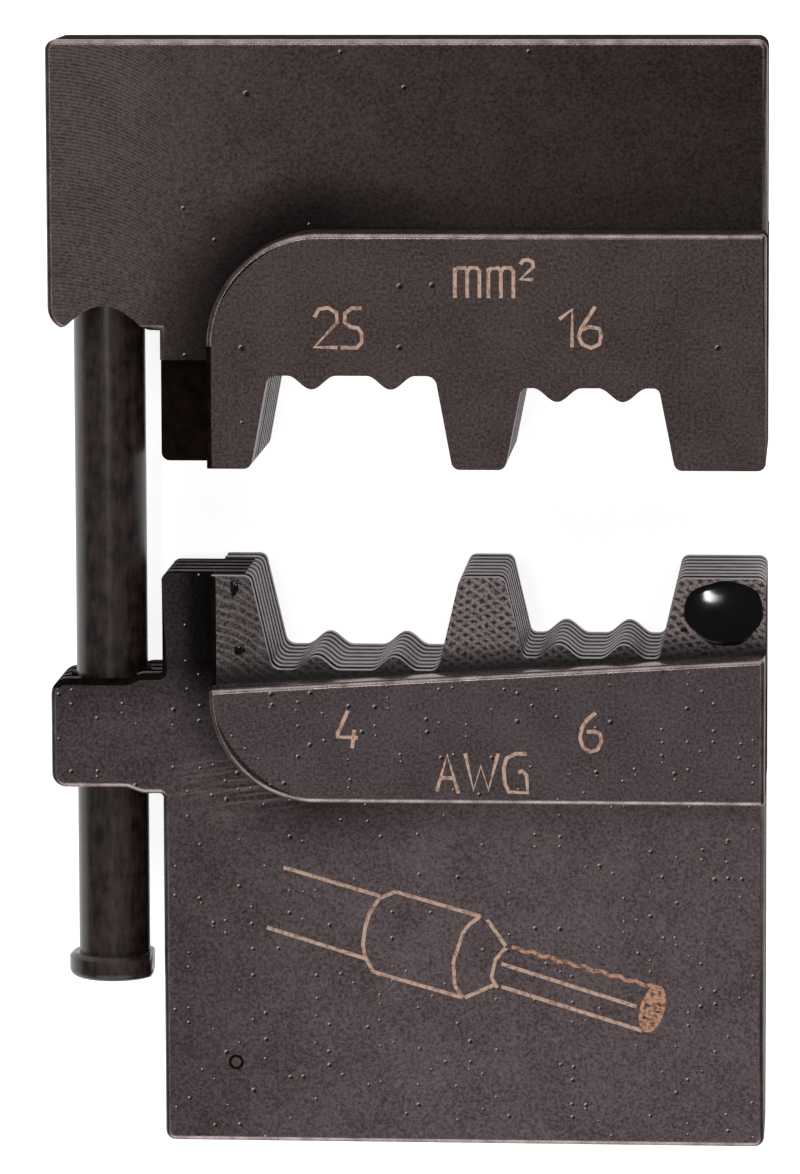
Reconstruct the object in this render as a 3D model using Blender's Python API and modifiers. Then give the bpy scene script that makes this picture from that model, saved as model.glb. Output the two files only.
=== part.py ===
"""Ferrule crimp die: two comb-toothed steel halves that close along one guide pin.

The set lies on its back. X runs across it, Y is the closing direction and Z points out of the
marked front. The upper half carries the pin, and the ear of the lower half slides on it. Both
halves are cut into thin fins across their thickness, so that each half enters the slots of the
other as they close round the ferrule.
"""

import math

import bmesh
import bpy
from mathutils import Vector

# Heights of the halves and the gap between their teeth, in metres.
UPPER_HEIGHT = 0.0202
LOWER_HEIGHT = 0.0278
OPEN_GAP = 0.00535

# Thickness: the block, and the bosses that stand out of its front and back.
BLOCK_DEPTH = 0.00525
FRONT_STEP = 0.00275
BACK_STEP = 0.0025

# Widths, from the pin's side: the lug, the column, and the lands between the nests' roots.
LUG_WIDTH = 0.0054
COLUMN_WIDTH = 0.0025
LEFT_LAND = 0.002925
WIDE_NEST_ROOT = 0.00795
MIDDLE_LAND = 0.004075
NARROW_NEST_ROOT = 0.0065
RIGHT_LAND = 0.00505

# Corners and edges of the blocks.
CORNER_RADIUS = 0.0005
EDGE_ROUND = 0.00025
EDGE_SEGMENTS = 2
SHARP_ANGLE = math.radians(40.0)

# The lug of the upper half and the ear of the lower one.
LUG_HEIGHT = 0.0139
LUG_CORNER = 0.0011
EAR_HEIGHT = 0.00525
EAR_DROP = 0.00525
EAR_CORNER = 0.0007
EAR_FILLET = 0.0002
SHOULDER_WIDTH = 0.00105
SHOULDER_RAMP = 0.0007
SHOULDER_RISE = 0.00028
SHOULDER_RADIUS = 0.0010

# Bosses, whose heights are measured from the tips of the teeth.
BOSS_RADIUS = 0.0062
UPPER_BOSS_HEIGHT = 0.0112
LOWER_BOSS_HEIGHT = 0.0107

# The lower teeth are faced back to a shelf, which runs this far under both nests' roots.
SHELF_LAND = 0.00008

# Comb: fins of the lower half, and the running clearance on each side of them.
COMB_PITCH = 0.0012
LOWER_FIN = 0.00056
COMB_CLEARANCE = 0.00005
FACE_PLATE = 0.0014
UPPER_SLOT_RUN = 0.00045
LOWER_SLOT_RUN = 0.0009

# Nests: how far each wall leans out from the root to the tips, and how deep the nest is.
WIDE_UPPER_FLARE = 0.000825
WIDE_LOWER_FLARE = 0.00105
WIDE_UPPER_DEPTH = 0.00445
WIDE_LOWER_DEPTH = 0.0045
WIDE_BUMP_SPACING = 0.00376
NARROW_UPPER_FLARE = 0.000775
NARROW_LOWER_FLARE = 0.0009
NARROW_UPPER_DEPTH = 0.0039
NARROW_LOWER_DEPTH = 0.00385
NARROW_BUMP_SPACING = 0.0031
BUMP_HEIGHT = 0.00065
BUMP_WIDTH = 0.0023
NEST_CORNER = 0.0005
TIP_RADIUS = 0.0004

# Guide pin, its head and its holes.
PIN_DIAMETER = 0.00345
PIN_GRIP = 0.0090
PIN_REACH = 0.0318
PIN_CHAMFER = 0.0003
HEAD_DIAMETER = 0.0044
HEAD_HEIGHT = 0.0012
HEAD_ROUND = 0.0004
HEAD_FLAT_PROUD = 0.0001
PIN_FIT = 0.00005
PIN_END_GAP = 0.0003
EAR_PLAY = 0.00025
SINK_RADIUS = 0.0033
SINK_ANGLE = math.radians(30.0)
SINK_SCAR = 0.00005

# How finely the round stretches are divided, and how far a cutter passes the metal.
ARC_STEPS = 4
BIG_ARC_STEPS = 16
BUMP_STEPS = 8
ROUND_SIDES = 40
OVERCUT = 0.002
WELD_DISTANCE = 1e-6

# Places that follow from the sizes.
THICKNESS = BACK_STEP + BLOCK_DEPTH + FRONT_STEP
OVERALL_HEIGHT = UPPER_HEIGHT + OPEN_GAP + LOWER_HEIGHT
BOSS_WIDTH = LEFT_LAND + WIDE_NEST_ROOT + MIDDLE_LAND + NARROW_NEST_ROOT + RIGHT_LAND
DIE_WIDTH = LUG_WIDTH + COLUMN_WIDTH + BOSS_WIDTH
RIGHT = DIE_WIDTH / 2
LEFT = -DIE_WIDTH / 2
BODY_LEFT = LEFT + LUG_WIDTH
BOSS_LEFT = BODY_LEFT + COLUMN_WIDTH
NARROW_NEST_X = RIGHT - RIGHT_LAND - NARROW_NEST_ROOT / 2
WIDE_NEST_X = BOSS_LEFT + LEFT_LAND + WIDE_NEST_ROOT / 2
SEAT = OVERALL_HEIGHT / 2
UPPER_TIPS = SEAT - UPPER_HEIGHT
LOWER_TIPS = UPPER_TIPS - OPEN_GAP
BASE = LOWER_TIPS - LOWER_HEIGHT
BLOCK_BACK = BACK_STEP
BLOCK_FRONT = BACK_STEP + BLOCK_DEPTH
LUG_BOTTOM = SEAT - LUG_HEIGHT
UPPER_SLOT_END = UPPER_TIPS + max(WIDE_UPPER_DEPTH, NARROW_UPPER_DEPTH) + UPPER_SLOT_RUN
LOWER_SLOT_END = LOWER_TIPS - max(WIDE_LOWER_DEPTH, NARROW_LOWER_DEPTH) - LOWER_SLOT_RUN
EAR_TOP = LOWER_TIPS - EAR_DROP
EAR_BOTTOM = EAR_TOP - EAR_HEIGHT
UPPER_BOSS_TOP = UPPER_TIPS + UPPER_BOSS_HEIGHT
LOWER_BOSS_BOTTOM = LOWER_TIPS - LOWER_BOSS_HEIGHT
FIN_COUNT = int((THICKNESS - FACE_PLATE - LOWER_FIN) / COMB_PITCH) + 1
COMB_FRONT = (FIN_COUNT - 1) * COMB_PITCH + LOWER_FIN
PIN_X = (LEFT + BODY_LEFT) / 2
PIN_Z = BLOCK_BACK + BLOCK_DEPTH / 2


def clear_scene():
    """Remove whatever the scene holds."""
    for obj in list(bpy.data.objects):
        bpy.data.objects.remove(obj, do_unlink=True)


def make_collection(name):
    """Add a collection to the scene."""
    collection = bpy.data.collections.new(name)
    bpy.context.scene.collection.children.link(collection)
    return collection


def steel(name, colour, roughness):
    """Return a plain blackened-steel material."""
    material = bpy.data.materials.new(name)
    material.use_nodes = True
    shader = material.node_tree.nodes["Principled BSDF"]
    shader.inputs["Base Color"].default_value = (*colour, 1.0)
    shader.inputs["Metallic"].default_value = 0.9
    shader.inputs["Roughness"].default_value = roughness
    return material


def corner_arc(before, corner, after, radius, steps):
    """Return the points that round one corner of an outline."""
    to_before = (before - corner).normalized()
    to_after = (after - corner).normalized()
    half_angle = to_before.angle(to_after) / 2
    longest = 0.48 * min((before - corner).length, (after - corner).length)
    tangent = min(radius / math.tan(half_angle), longest)
    start = corner + to_before * tangent
    end = corner + to_after * tangent
    bisector = (to_before + to_after).normalized()
    centre = corner + bisector * (tangent / math.cos(half_angle))
    first = (start - centre)
    turn = first.angle_signed(end - centre)
    points = []
    for step in range(steps + 1):
        angle = -turn * step / steps
        spoke = Vector((
            first.x * math.cos(angle) - first.y * math.sin(angle),
            first.x * math.sin(angle) + first.y * math.cos(angle),
        ))
        points.append(centre + spoke)
    return points


def rounded(corners):
    """Turn (x, y, radius, steps) corners into the points of a closed outline."""
    spots = [Vector(corner[:2]) for corner in corners]
    points = []
    for index, (_, _, radius, steps) in enumerate(corners):
        if radius <= 0:
            points.append(spots[index])
            continue
        before = spots[index - 1]
        after = spots[(index + 1) % len(spots)]
        points.extend(corner_arc(before, spots[index], after, radius, steps))
    return points


def bump(centre, root, towards):
    """Return the raised-cosine points of one nest bump, left to right."""
    points = []
    for step in range(BUMP_STEPS + 1):
        share = 2 * step / BUMP_STEPS - 1
        lift = BUMP_HEIGHT * (1 + math.cos(math.pi * share)) / 2
        points.append((centre + share * BUMP_WIDTH / 2, root + towards * lift, 0, 0))
    return points


def nest(centre, root_width, flare, tips, depth, spacing, towards):
    """Return the corners of one nest, left to right; towards points out of the half."""
    root = tips - towards * depth
    corners = [
        (centre - root_width / 2 - flare, tips, TIP_RADIUS, ARC_STEPS),
        (centre - root_width / 2, root, NEST_CORNER, ARC_STEPS),
    ]
    corners += bump(centre - spacing / 2, root, towards)
    corners += bump(centre + spacing / 2, root, towards)
    corners += [
        (centre + root_width / 2, root, NEST_CORNER, ARC_STEPS),
        (centre + root_width / 2 + flare, tips, TIP_RADIUS, ARC_STEPS),
    ]
    return corners


def slab(name, corners, low, high):
    """Extrude an outline between two heights, as a closed mesh object.

    The curve gives the walls, and each end is filled as one face, which keeps the points that
    lie in line along the root of a nest.
    """
    curve = bpy.data.curves.new(name, "CURVE")
    curve.dimensions = "2D"
    curve.fill_mode = "NONE"
    curve.extrude = (high - low) / 2
    points = rounded(corners)
    spline = curve.splines.new("POLY")
    spline.points.add(len(points) - 1)
    for spot, point in zip(spline.points, points):
        spot.co = (point.x, point.y, 0, 1)
    spline.use_cyclic_u = True
    source = bpy.data.objects.new(name + "_outline", curve)
    source.location.z = (low + high) / 2
    bpy.context.scene.collection.objects.link(source)
    solid = meshed(source, name)
    bpy.data.objects.remove(source, do_unlink=True)
    return solid


def meshed(source, name):
    """Return a new mesh object of a source as evaluated, welded and with whole flat faces."""
    bpy.context.view_layer.update()
    depsgraph = bpy.context.evaluated_depsgraph_get()
    mesh = bpy.data.meshes.new_from_object(source.evaluated_get(depsgraph), depsgraph=depsgraph)
    shape = bmesh.new()
    shape.from_mesh(mesh)
    bmesh.ops.remove_doubles(shape, verts=shape.verts, dist=WELD_DISTANCE)
    rims = [edge for edge in shape.edges if edge.is_boundary]
    if rims:
        bmesh.ops.edgeloop_fill(shape, edges=rims)
    bmesh.ops.dissolve_limit(
        shape, angle_limit=math.radians(0.05), verts=shape.verts, edges=shape.edges,
    )
    bmesh.ops.recalc_face_normals(shape, faces=shape.faces)
    shape.to_mesh(mesh)
    shape.free()
    mesh.name = name
    solid = bpy.data.objects.new(name, mesh)
    solid.matrix_world = source.matrix_world.copy()
    bpy.context.scene.collection.objects.link(solid)
    return solid


def shade(obj):
    """Shade the round stretches of a mesh object smooth."""
    obj.data.shade_smooth()
    obj.data.set_sharp_from_angle(angle=SHARP_ANGLE)


def place(obj, collection):
    """Move an object into one collection."""
    for old in list(obj.users_collection):
        old.objects.unlink(obj)
    collection.objects.link(obj)


def hide_cutter(obj, collection):
    """Mark an object as a cutter."""
    place(obj, collection)
    obj.hide_render = True
    obj.display_type = "WIRE"


def boolean(target, cutter, operation):
    """Add an exact Boolean to the target."""
    modifier = target.modifiers.new(cutter.name, "BOOLEAN")
    modifier.operation = operation
    modifier.solver = "EXACT"
    modifier.object = cutter
    return modifier


def round_convex_edges(obj, stays_sharp):
    """Round the sharp outward edges, except where stays_sharp(middle of the edge) is true."""
    mesh = obj.data
    shape = bmesh.new()
    shape.from_mesh(mesh)
    weights = shape.edges.layers.float.new("bevel_weight_edge")
    for edge in shape.edges:
        middle = (edge.verts[0].co + edge.verts[1].co) / 2
        outward = edge.calc_face_angle_signed() > SHARP_ANGLE
        if outward and not stays_sharp(obj.matrix_world @ middle):
            edge[weights] = 1.0
    shape.to_mesh(mesh)
    shape.free()
    shade(obj)
    modifier = obj.modifiers.new("edge_round", "BEVEL")
    modifier.limit_method = "WEIGHT"
    modifier.width = EDGE_ROUND
    modifier.segments = EDGE_SEGMENTS
    modifier.use_clamp_overlap = False
    modifier.harden_normals = True


def turned(name, profile):
    """Return an object turned about the pin's axis from (radius, height) points, top to bottom."""
    mesh = bpy.data.meshes.new(name)
    shape = bmesh.new()
    verts = [shape.verts.new((radius, 0, height)) for radius, height in profile]
    for first, second in zip(verts, verts[1:]):
        shape.edges.new((first, second))
    shape.to_mesh(mesh)
    shape.free()
    obj = bpy.data.objects.new(name, mesh)
    obj.rotation_euler.x = math.radians(-90)
    obj.location = (PIN_X, 0, PIN_Z)
    screw = obj.modifiers.new("turned", "SCREW")
    screw.axis = "Z"
    screw.steps = ROUND_SIDES
    screw.render_steps = ROUND_SIDES
    screw.use_merge_vertices = True
    screw.merge_threshold = WELD_DISTANCE
    bpy.context.scene.collection.objects.link(obj)
    return obj


def slot_cutter(name, slots, low, high):
    """Return one cutter of flat boxes, one for each (back, front) slot of a comb."""
    shape = bmesh.new()
    width = DIE_WIDTH + 2 * OVERCUT
    for back, front in slots:
        made = bmesh.ops.create_cube(shape, size=1.0)
        bmesh.ops.scale(shape, vec=(width, high - low, front - back), verts=made["verts"])
        middle = Vector((0, (low + high) / 2, (back + front) / 2))
        bmesh.ops.translate(shape, vec=middle, verts=made["verts"])
    mesh = bpy.data.meshes.new(name)
    shape.to_mesh(mesh)
    shape.free()
    obj = bpy.data.objects.new(name, mesh)
    bpy.context.scene.collection.objects.link(obj)
    return obj


def upper_outline():
    """Return the corners of the upper boss and teeth, anticlockwise from the lower left."""
    corners = [(BOSS_LEFT, UPPER_TIPS, 0, 0)]
    corners += nest(
        WIDE_NEST_X, WIDE_NEST_ROOT, WIDE_UPPER_FLARE, UPPER_TIPS, WIDE_UPPER_DEPTH,
        WIDE_BUMP_SPACING, -1,
    )
    corners += nest(
        NARROW_NEST_X, NARROW_NEST_ROOT, NARROW_UPPER_FLARE, UPPER_TIPS, NARROW_UPPER_DEPTH,
        NARROW_BUMP_SPACING, -1,
    )
    corners += [
        (RIGHT, UPPER_TIPS, TIP_RADIUS, ARC_STEPS),
        (RIGHT, UPPER_BOSS_TOP, 0, 0),
        (BOSS_LEFT, UPPER_BOSS_TOP, BOSS_RADIUS, BIG_ARC_STEPS),
    ]
    return corners


def upper_block_outline():
    """Return the corners of the upper block, with its lug and its column."""
    inside = BOSS_LEFT + LEFT_LAND / 4
    join = (UPPER_BOSS_TOP + UPPER_SLOT_END) / 2
    return [
        (BODY_LEFT, UPPER_TIPS, TIP_RADIUS, ARC_STEPS),
        (inside, UPPER_TIPS, 0, 0),
        (inside, join, 0, 0),
        (RIGHT, join, 0, 0),
        (RIGHT, SEAT, CORNER_RADIUS, ARC_STEPS),
        (LEFT, SEAT, CORNER_RADIUS, ARC_STEPS),
        (LEFT, LUG_BOTTOM, LUG_CORNER, ARC_STEPS),
        (BODY_LEFT, LUG_BOTTOM, 0, 0),
    ]


def lug_bore():
    """Return the cutter of the pin's blind hole and its countersink.

    The countersink is wider than the lug is thick, so it breaks out of the front and back, and
    it just marks the side of the body.
    """
    radius = PIN_DIAMETER / 2 + PIN_FIT
    slope = math.tan(SINK_ANGLE)
    profile = [
        (0, LUG_BOTTOM + PIN_GRIP + PIN_END_GAP),
        (radius, LUG_BOTTOM + PIN_GRIP + PIN_END_GAP),
        (radius, LUG_BOTTOM + (SINK_RADIUS - radius) / slope),
        (SINK_RADIUS + EDGE_ROUND * slope, LUG_BOTTOM - EDGE_ROUND),
        (0, LUG_BOTTOM - EDGE_ROUND),
    ]
    cone = turned("sink", profile)
    bore = meshed(cone, "lug_bore")
    bpy.data.objects.remove(cone, do_unlink=True)
    shape = bmesh.new()
    shape.from_mesh(bore.data)
    bmesh.ops.bisect_plane(
        shape, geom=shape.verts[:] + shape.edges[:] + shape.faces[:],
        plane_co=(BODY_LEFT + SINK_SCAR - PIN_X, 0, 0), plane_no=(1, 0, 0), clear_outer=True,
    )
    bmesh.ops.edgeloop_fill(shape, edges=[edge for edge in shape.edges if edge.is_boundary])
    bmesh.ops.recalc_face_normals(shape, faces=shape.faces)
    shape.to_mesh(bore.data)
    shape.free()
    return bore


def join_slabs(name, first, second, cutters):
    """Join two slabs and cut them, and return the result as one mesh object."""
    boolean(first, second, "UNION")
    for cutter in cutters:
        boolean(first, cutter, "DIFFERENCE")
    solid = meshed(first, name)
    for used in (first, second, *cutters):
        bpy.data.objects.remove(used, do_unlink=True)
    return solid


def on_column_end(middle, tips):
    """Tell whether a place is on the end of the column beside the teeth."""
    return abs(middle.y - tips) < TIP_RADIUS and middle.x < BOSS_LEFT + TIP_RADIUS


def on_rim(middle, front):
    """Tell whether a place is in the front or back face of the teeth, clear of the column."""
    in_face = min(abs(middle.z), abs(middle.z - front)) < COMB_CLEARANCE
    return in_face and middle.x > BOSS_LEFT + TIP_RADIUS


def sharp_on_upper(middle):
    """Tell whether an edge of the upper half stays as it was cut, as on its teeth and nests."""
    on_teeth = on_rim(middle, THICKNESS) and middle.y < UPPER_SLOT_END
    return on_teeth or on_column_end(middle, UPPER_TIPS)


def sharp_on_lower(middle):
    """Tell whether an edge of the lower half stays as it was cut, as on its teeth and nests."""
    on_teeth = on_rim(middle, COMB_FRONT) and middle.y > LOWER_SLOT_END
    return on_teeth or on_column_end(middle, LOWER_TIPS)


def make_upper_die(parts, cutters):
    """Model the upper half: block, lug, boss, teeth, pin hole and comb slots."""
    block = slab("upper_block", upper_block_outline(), BLOCK_BACK, BLOCK_FRONT)
    boss = slab("upper_boss", upper_outline(), 0, THICKNESS)
    die = join_slabs("upper_die", boss, block, [])
    round_convex_edges(die, sharp_on_upper)
    slots = []
    for index in range(FIN_COUNT):
        back = index * COMB_PITCH - COMB_CLEARANCE
        front = index * COMB_PITCH + LOWER_FIN + COMB_CLEARANCE
        slots.append((back - OVERCUT if index == 0 else back, front))
    comb = slot_cutter(
        "upper_slots", slots, UPPER_TIPS - OVERCUT, UPPER_SLOT_END,
    )
    for cutter in (lug_bore(), comb):
        boolean(die, cutter, "DIFFERENCE")
        hide_cutter(cutter, cutters)
    die.data.materials.append(steel("upper_steel", (0.060, 0.050, 0.050), 0.48))
    place(die, parts)
    return die


def lower_outline():
    """Return the corners of the lower boss and teeth, clockwise from the upper left."""
    corners = [(BOSS_LEFT, LOWER_TIPS, 0, 0)]
    corners += nest(
        WIDE_NEST_X, WIDE_NEST_ROOT, WIDE_LOWER_FLARE, LOWER_TIPS, WIDE_LOWER_DEPTH,
        WIDE_BUMP_SPACING, 1,
    )
    corners += nest(
        NARROW_NEST_X, NARROW_NEST_ROOT, NARROW_LOWER_FLARE, LOWER_TIPS, NARROW_LOWER_DEPTH,
        NARROW_BUMP_SPACING, 1,
    )
    corners += [
        (RIGHT, LOWER_TIPS, TIP_RADIUS, ARC_STEPS),
        (RIGHT, LOWER_BOSS_BOTTOM, 0, 0),
        (BOSS_LEFT, LOWER_BOSS_BOTTOM, BOSS_RADIUS, BIG_ARC_STEPS),
    ]
    return corners


def lower_block_outline():
    """Return the corners of the lower block, with its ear and its column."""
    inside = BOSS_LEFT + LEFT_LAND / 4
    join = (LOWER_BOSS_BOTTOM + LOWER_SLOT_END) / 2
    shoulder = BODY_LEFT - SHOULDER_WIDTH
    ramp = shoulder - SHOULDER_RAMP
    low = EAR_BOTTOM - SHOULDER_RISE
    high = EAR_TOP + SHOULDER_RISE
    return [
        (BODY_LEFT, LOWER_TIPS, TIP_RADIUS, ARC_STEPS),
        (inside, LOWER_TIPS, 0, 0),
        (inside, join, 0, 0),
        (RIGHT, join, 0, 0),
        (RIGHT, BASE, CORNER_RADIUS, ARC_STEPS),
        (BODY_LEFT, BASE, CORNER_RADIUS, ARC_STEPS),
        (BODY_LEFT, low, EAR_FILLET, ARC_STEPS),
        (shoulder, low, SHOULDER_RADIUS, ARC_STEPS),
        (ramp, EAR_BOTTOM, SHOULDER_RADIUS, ARC_STEPS),
        (LEFT, EAR_BOTTOM, EAR_CORNER, ARC_STEPS),
        (LEFT, EAR_TOP, EAR_CORNER, ARC_STEPS),
        (ramp, EAR_TOP, SHOULDER_RADIUS, ARC_STEPS),
        (shoulder, high, SHOULDER_RADIUS, ARC_STEPS),
        (BODY_LEFT, high, EAR_FILLET, ARC_STEPS),
    ]


def shelf_height(x):
    """Return the height of the shelf, which passes just under both nests' roots."""
    wide_x = WIDE_NEST_X + WIDE_NEST_ROOT / 2
    narrow_x = NARROW_NEST_X + NARROW_NEST_ROOT / 2
    rise = (WIDE_LOWER_DEPTH - NARROW_LOWER_DEPTH) / (narrow_x - wide_x)
    return LOWER_TIPS - WIDE_LOWER_DEPTH - SHELF_LAND + (x - wide_x) * rise


def shelf_cutter():
    """Return the box that faces the lower teeth back, down to the slanting shelf."""
    top = LOWER_TIPS + OVERCUT
    start = BOSS_LEFT - OVERCUT
    end = RIGHT + OVERCUT
    corners = [
        (start, shelf_height(start), 0, 0),
        (end, shelf_height(end), 0, 0),
        (end, top, 0, 0),
        (start, top, 0, 0),
    ]
    return slab("shelf_cutter", corners, COMB_FRONT, THICKNESS + OVERCUT)


def make_lower_die(parts, cutters):
    """Model the lower half: block, ear, boss, teeth faced to the shelf, hole and slots."""
    block = slab("lower_block", lower_block_outline(), BLOCK_BACK, BLOCK_FRONT)
    boss = slab("lower_boss", lower_outline(), 0, THICKNESS)
    die = join_slabs("lower_die", boss, block, [shelf_cutter()])
    round_convex_edges(die, sharp_on_lower)
    radius = PIN_DIAMETER / 2 + EAR_PLAY
    high = EAR_TOP + OVERCUT
    low = EAR_BOTTOM - OVERCUT
    hole = turned("ear_hole", [(0, high), (radius, high), (radius, low), (0, low)])
    slots = []
    for index in range(FIN_COUNT - 1):
        slots.append((index * COMB_PITCH + LOWER_FIN, (index + 1) * COMB_PITCH))
    comb = slot_cutter(
        "lower_slots", slots, LOWER_SLOT_END, LOWER_TIPS + OVERCUT,
    )
    for cutter in (hole, comb):
        boolean(die, cutter, "DIFFERENCE")
        hide_cutter(cutter, cutters)
    die.data.materials.append(steel("lower_steel", (0.052, 0.044, 0.044), 0.46))
    place(die, parts)
    return die


def pin_profile():
    """Return the turned outline of the pin, from its gripped end down to its head."""
    shaft = PIN_DIAMETER / 2
    head = HEAD_DIAMETER / 2
    top = LUG_BOTTOM + PIN_GRIP
    bottom = LUG_BOTTOM - PIN_REACH
    head_top = bottom + HEAD_HEIGHT
    points = [
        (0, top),
        (shaft - PIN_CHAMFER, top),
        (shaft, top - PIN_CHAMFER),
        (shaft, head_top),
        (head - HEAD_ROUND / 2, head_top),
        (head, head_top - HEAD_ROUND / 2),
    ]
    for step in range(ARC_STEPS + 1):
        angle = math.radians(90) * step / ARC_STEPS
        points.append((
            head - HEAD_ROUND + HEAD_ROUND * math.cos(angle),
            bottom + HEAD_ROUND - HEAD_ROUND * math.sin(angle),
        ))
    points.append((0, bottom))
    return points


def make_guide_pin(parts, cutters):
    """Model the guide pin: a turned shaft whose head has one flat, towards the body."""
    blank = turned("pin_blank", pin_profile())
    pin = meshed(blank, "guide_pin")
    bpy.data.objects.remove(blank, do_unlink=True)
    shade(pin)
    flat_at = PIN_X + PIN_DIAMETER / 2 + HEAD_FLAT_PROUD
    bottom = LUG_BOTTOM - PIN_REACH
    corners = [
        (flat_at, bottom - OVERCUT, 0, 0),
        (flat_at + HEAD_DIAMETER, bottom - OVERCUT, 0, 0),
        (flat_at + HEAD_DIAMETER, bottom + HEAD_HEIGHT + OVERCUT, 0, 0),
        (flat_at, bottom + HEAD_HEIGHT + OVERCUT, 0, 0),
    ]
    flat = slab("head_flat", corners, PIN_Z - HEAD_DIAMETER, PIN_Z + HEAD_DIAMETER)
    boolean(pin, flat, "DIFFERENCE")
    hide_cutter(flat, cutters)
    pin.data.materials.append(steel("pin_steel", (0.035, 0.028, 0.028), 0.32))
    place(pin, parts)
    return pin


def main():
    """Build the die set."""
    clear_scene()
    parts = make_collection("ferrule_crimp_die")
    cutters = make_collection("cutters")
    make_upper_die(parts, cutters)
    make_lower_die(parts, cutters)
    make_guide_pin(parts, cutters)


main()
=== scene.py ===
"""Ferrule crimp die, dressed for its picture.

Two comb-toothed halves of black-oxide tool steel and their guide pin lie on their back on a pale
floor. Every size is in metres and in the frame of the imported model: X runs across the set, Y is
the closing direction and Z points out of the marked front.
"""

from __future__ import annotations

import logging
import math
from collections.abc import Iterable, Sequence
from dataclasses import dataclass, field
from enum import Enum, IntEnum
from functools import cached_property
from typing import ClassVar

import bmesh
import bpy
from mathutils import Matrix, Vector


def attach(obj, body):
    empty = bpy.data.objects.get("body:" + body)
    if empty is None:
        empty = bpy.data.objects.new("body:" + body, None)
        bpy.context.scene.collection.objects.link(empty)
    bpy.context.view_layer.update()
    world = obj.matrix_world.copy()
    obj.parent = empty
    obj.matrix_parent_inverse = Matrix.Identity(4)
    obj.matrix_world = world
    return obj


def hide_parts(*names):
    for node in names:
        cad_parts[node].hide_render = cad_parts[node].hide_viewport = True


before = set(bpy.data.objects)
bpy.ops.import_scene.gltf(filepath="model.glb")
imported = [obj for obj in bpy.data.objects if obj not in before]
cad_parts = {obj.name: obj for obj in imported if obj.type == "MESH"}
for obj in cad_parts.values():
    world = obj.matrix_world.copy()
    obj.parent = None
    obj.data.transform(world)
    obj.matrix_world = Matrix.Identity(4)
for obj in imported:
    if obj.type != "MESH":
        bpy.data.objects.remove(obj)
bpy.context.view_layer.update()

log = logging.getLogger("crimp_die")

MM = 0.001
SHARP_ANGLE = math.radians(40.0)
WELD_DISTANCE = 0.001 * MM
FLAT_ANGLE = math.radians(0.05)

# How much of a face's normal lies along an axis when the face is square to it, when the face is
# quite flat and when it is tilted.
SQUARE = 0.999
QUITE_FLAT = 0.9999
TILTED = 0.03

# The longest stretch of a side that the arc in its corner may take.
LONGEST_TANGENT = 0.48

# The sockets of a mix node: its factor, both numbers, both colours and the mixed colour.
FACTOR, NUMBER_A, NUMBER_B, COLOUR_A, COLOUR_B = 0, 2, 3, 6, 7
MIXED_COLOUR = 2

# What the halves, the pin, the marks and the finishes share.
SET_WIDTH = 34.4 * MM
THICKNESS = 10.5 * MM
BLOCK_FRONT = 7.75 * MM
BOSS_LEFT = -9.3 * MM
BOSS_RADIUS = 6.2 * MM
UPPER_BOSS_END = 17.675 * MM
LOWER_BOSS_END = -9.575 * MM
PIN_AXIS = (-14.5 * MM, 5.125 * MM)
PIN_RADIUS = 1.725 * MM
OVERCUT = 2.0 * MM

Corner = tuple[float, float, float, int]
Point = tuple[float, float]


# Colour and nodes


def linear(colour: str) -> tuple[float, float, float, float]:
    """Turn an sRGB hex colour into the linear values a shader takes.

    Args:
        colour: Six hex digits, with or without a leading hash.

    Returns:
        Red, green, blue and an alpha of one.
    """
    digits = colour.lstrip("#")
    shares = [int(digits[start:start + 2], 16) / 255 for start in (0, 2, 4)]
    parts = [s / 12.92 if s <= 0.04045 else ((s + 0.055) / 1.055) ** 2.4 for s in shares]
    return (*parts, 1.0)


def per(size: float) -> float:
    """Return the texture scale at which one feature is this many millimetres across."""
    return 1.0 / (size * MM)


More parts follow.
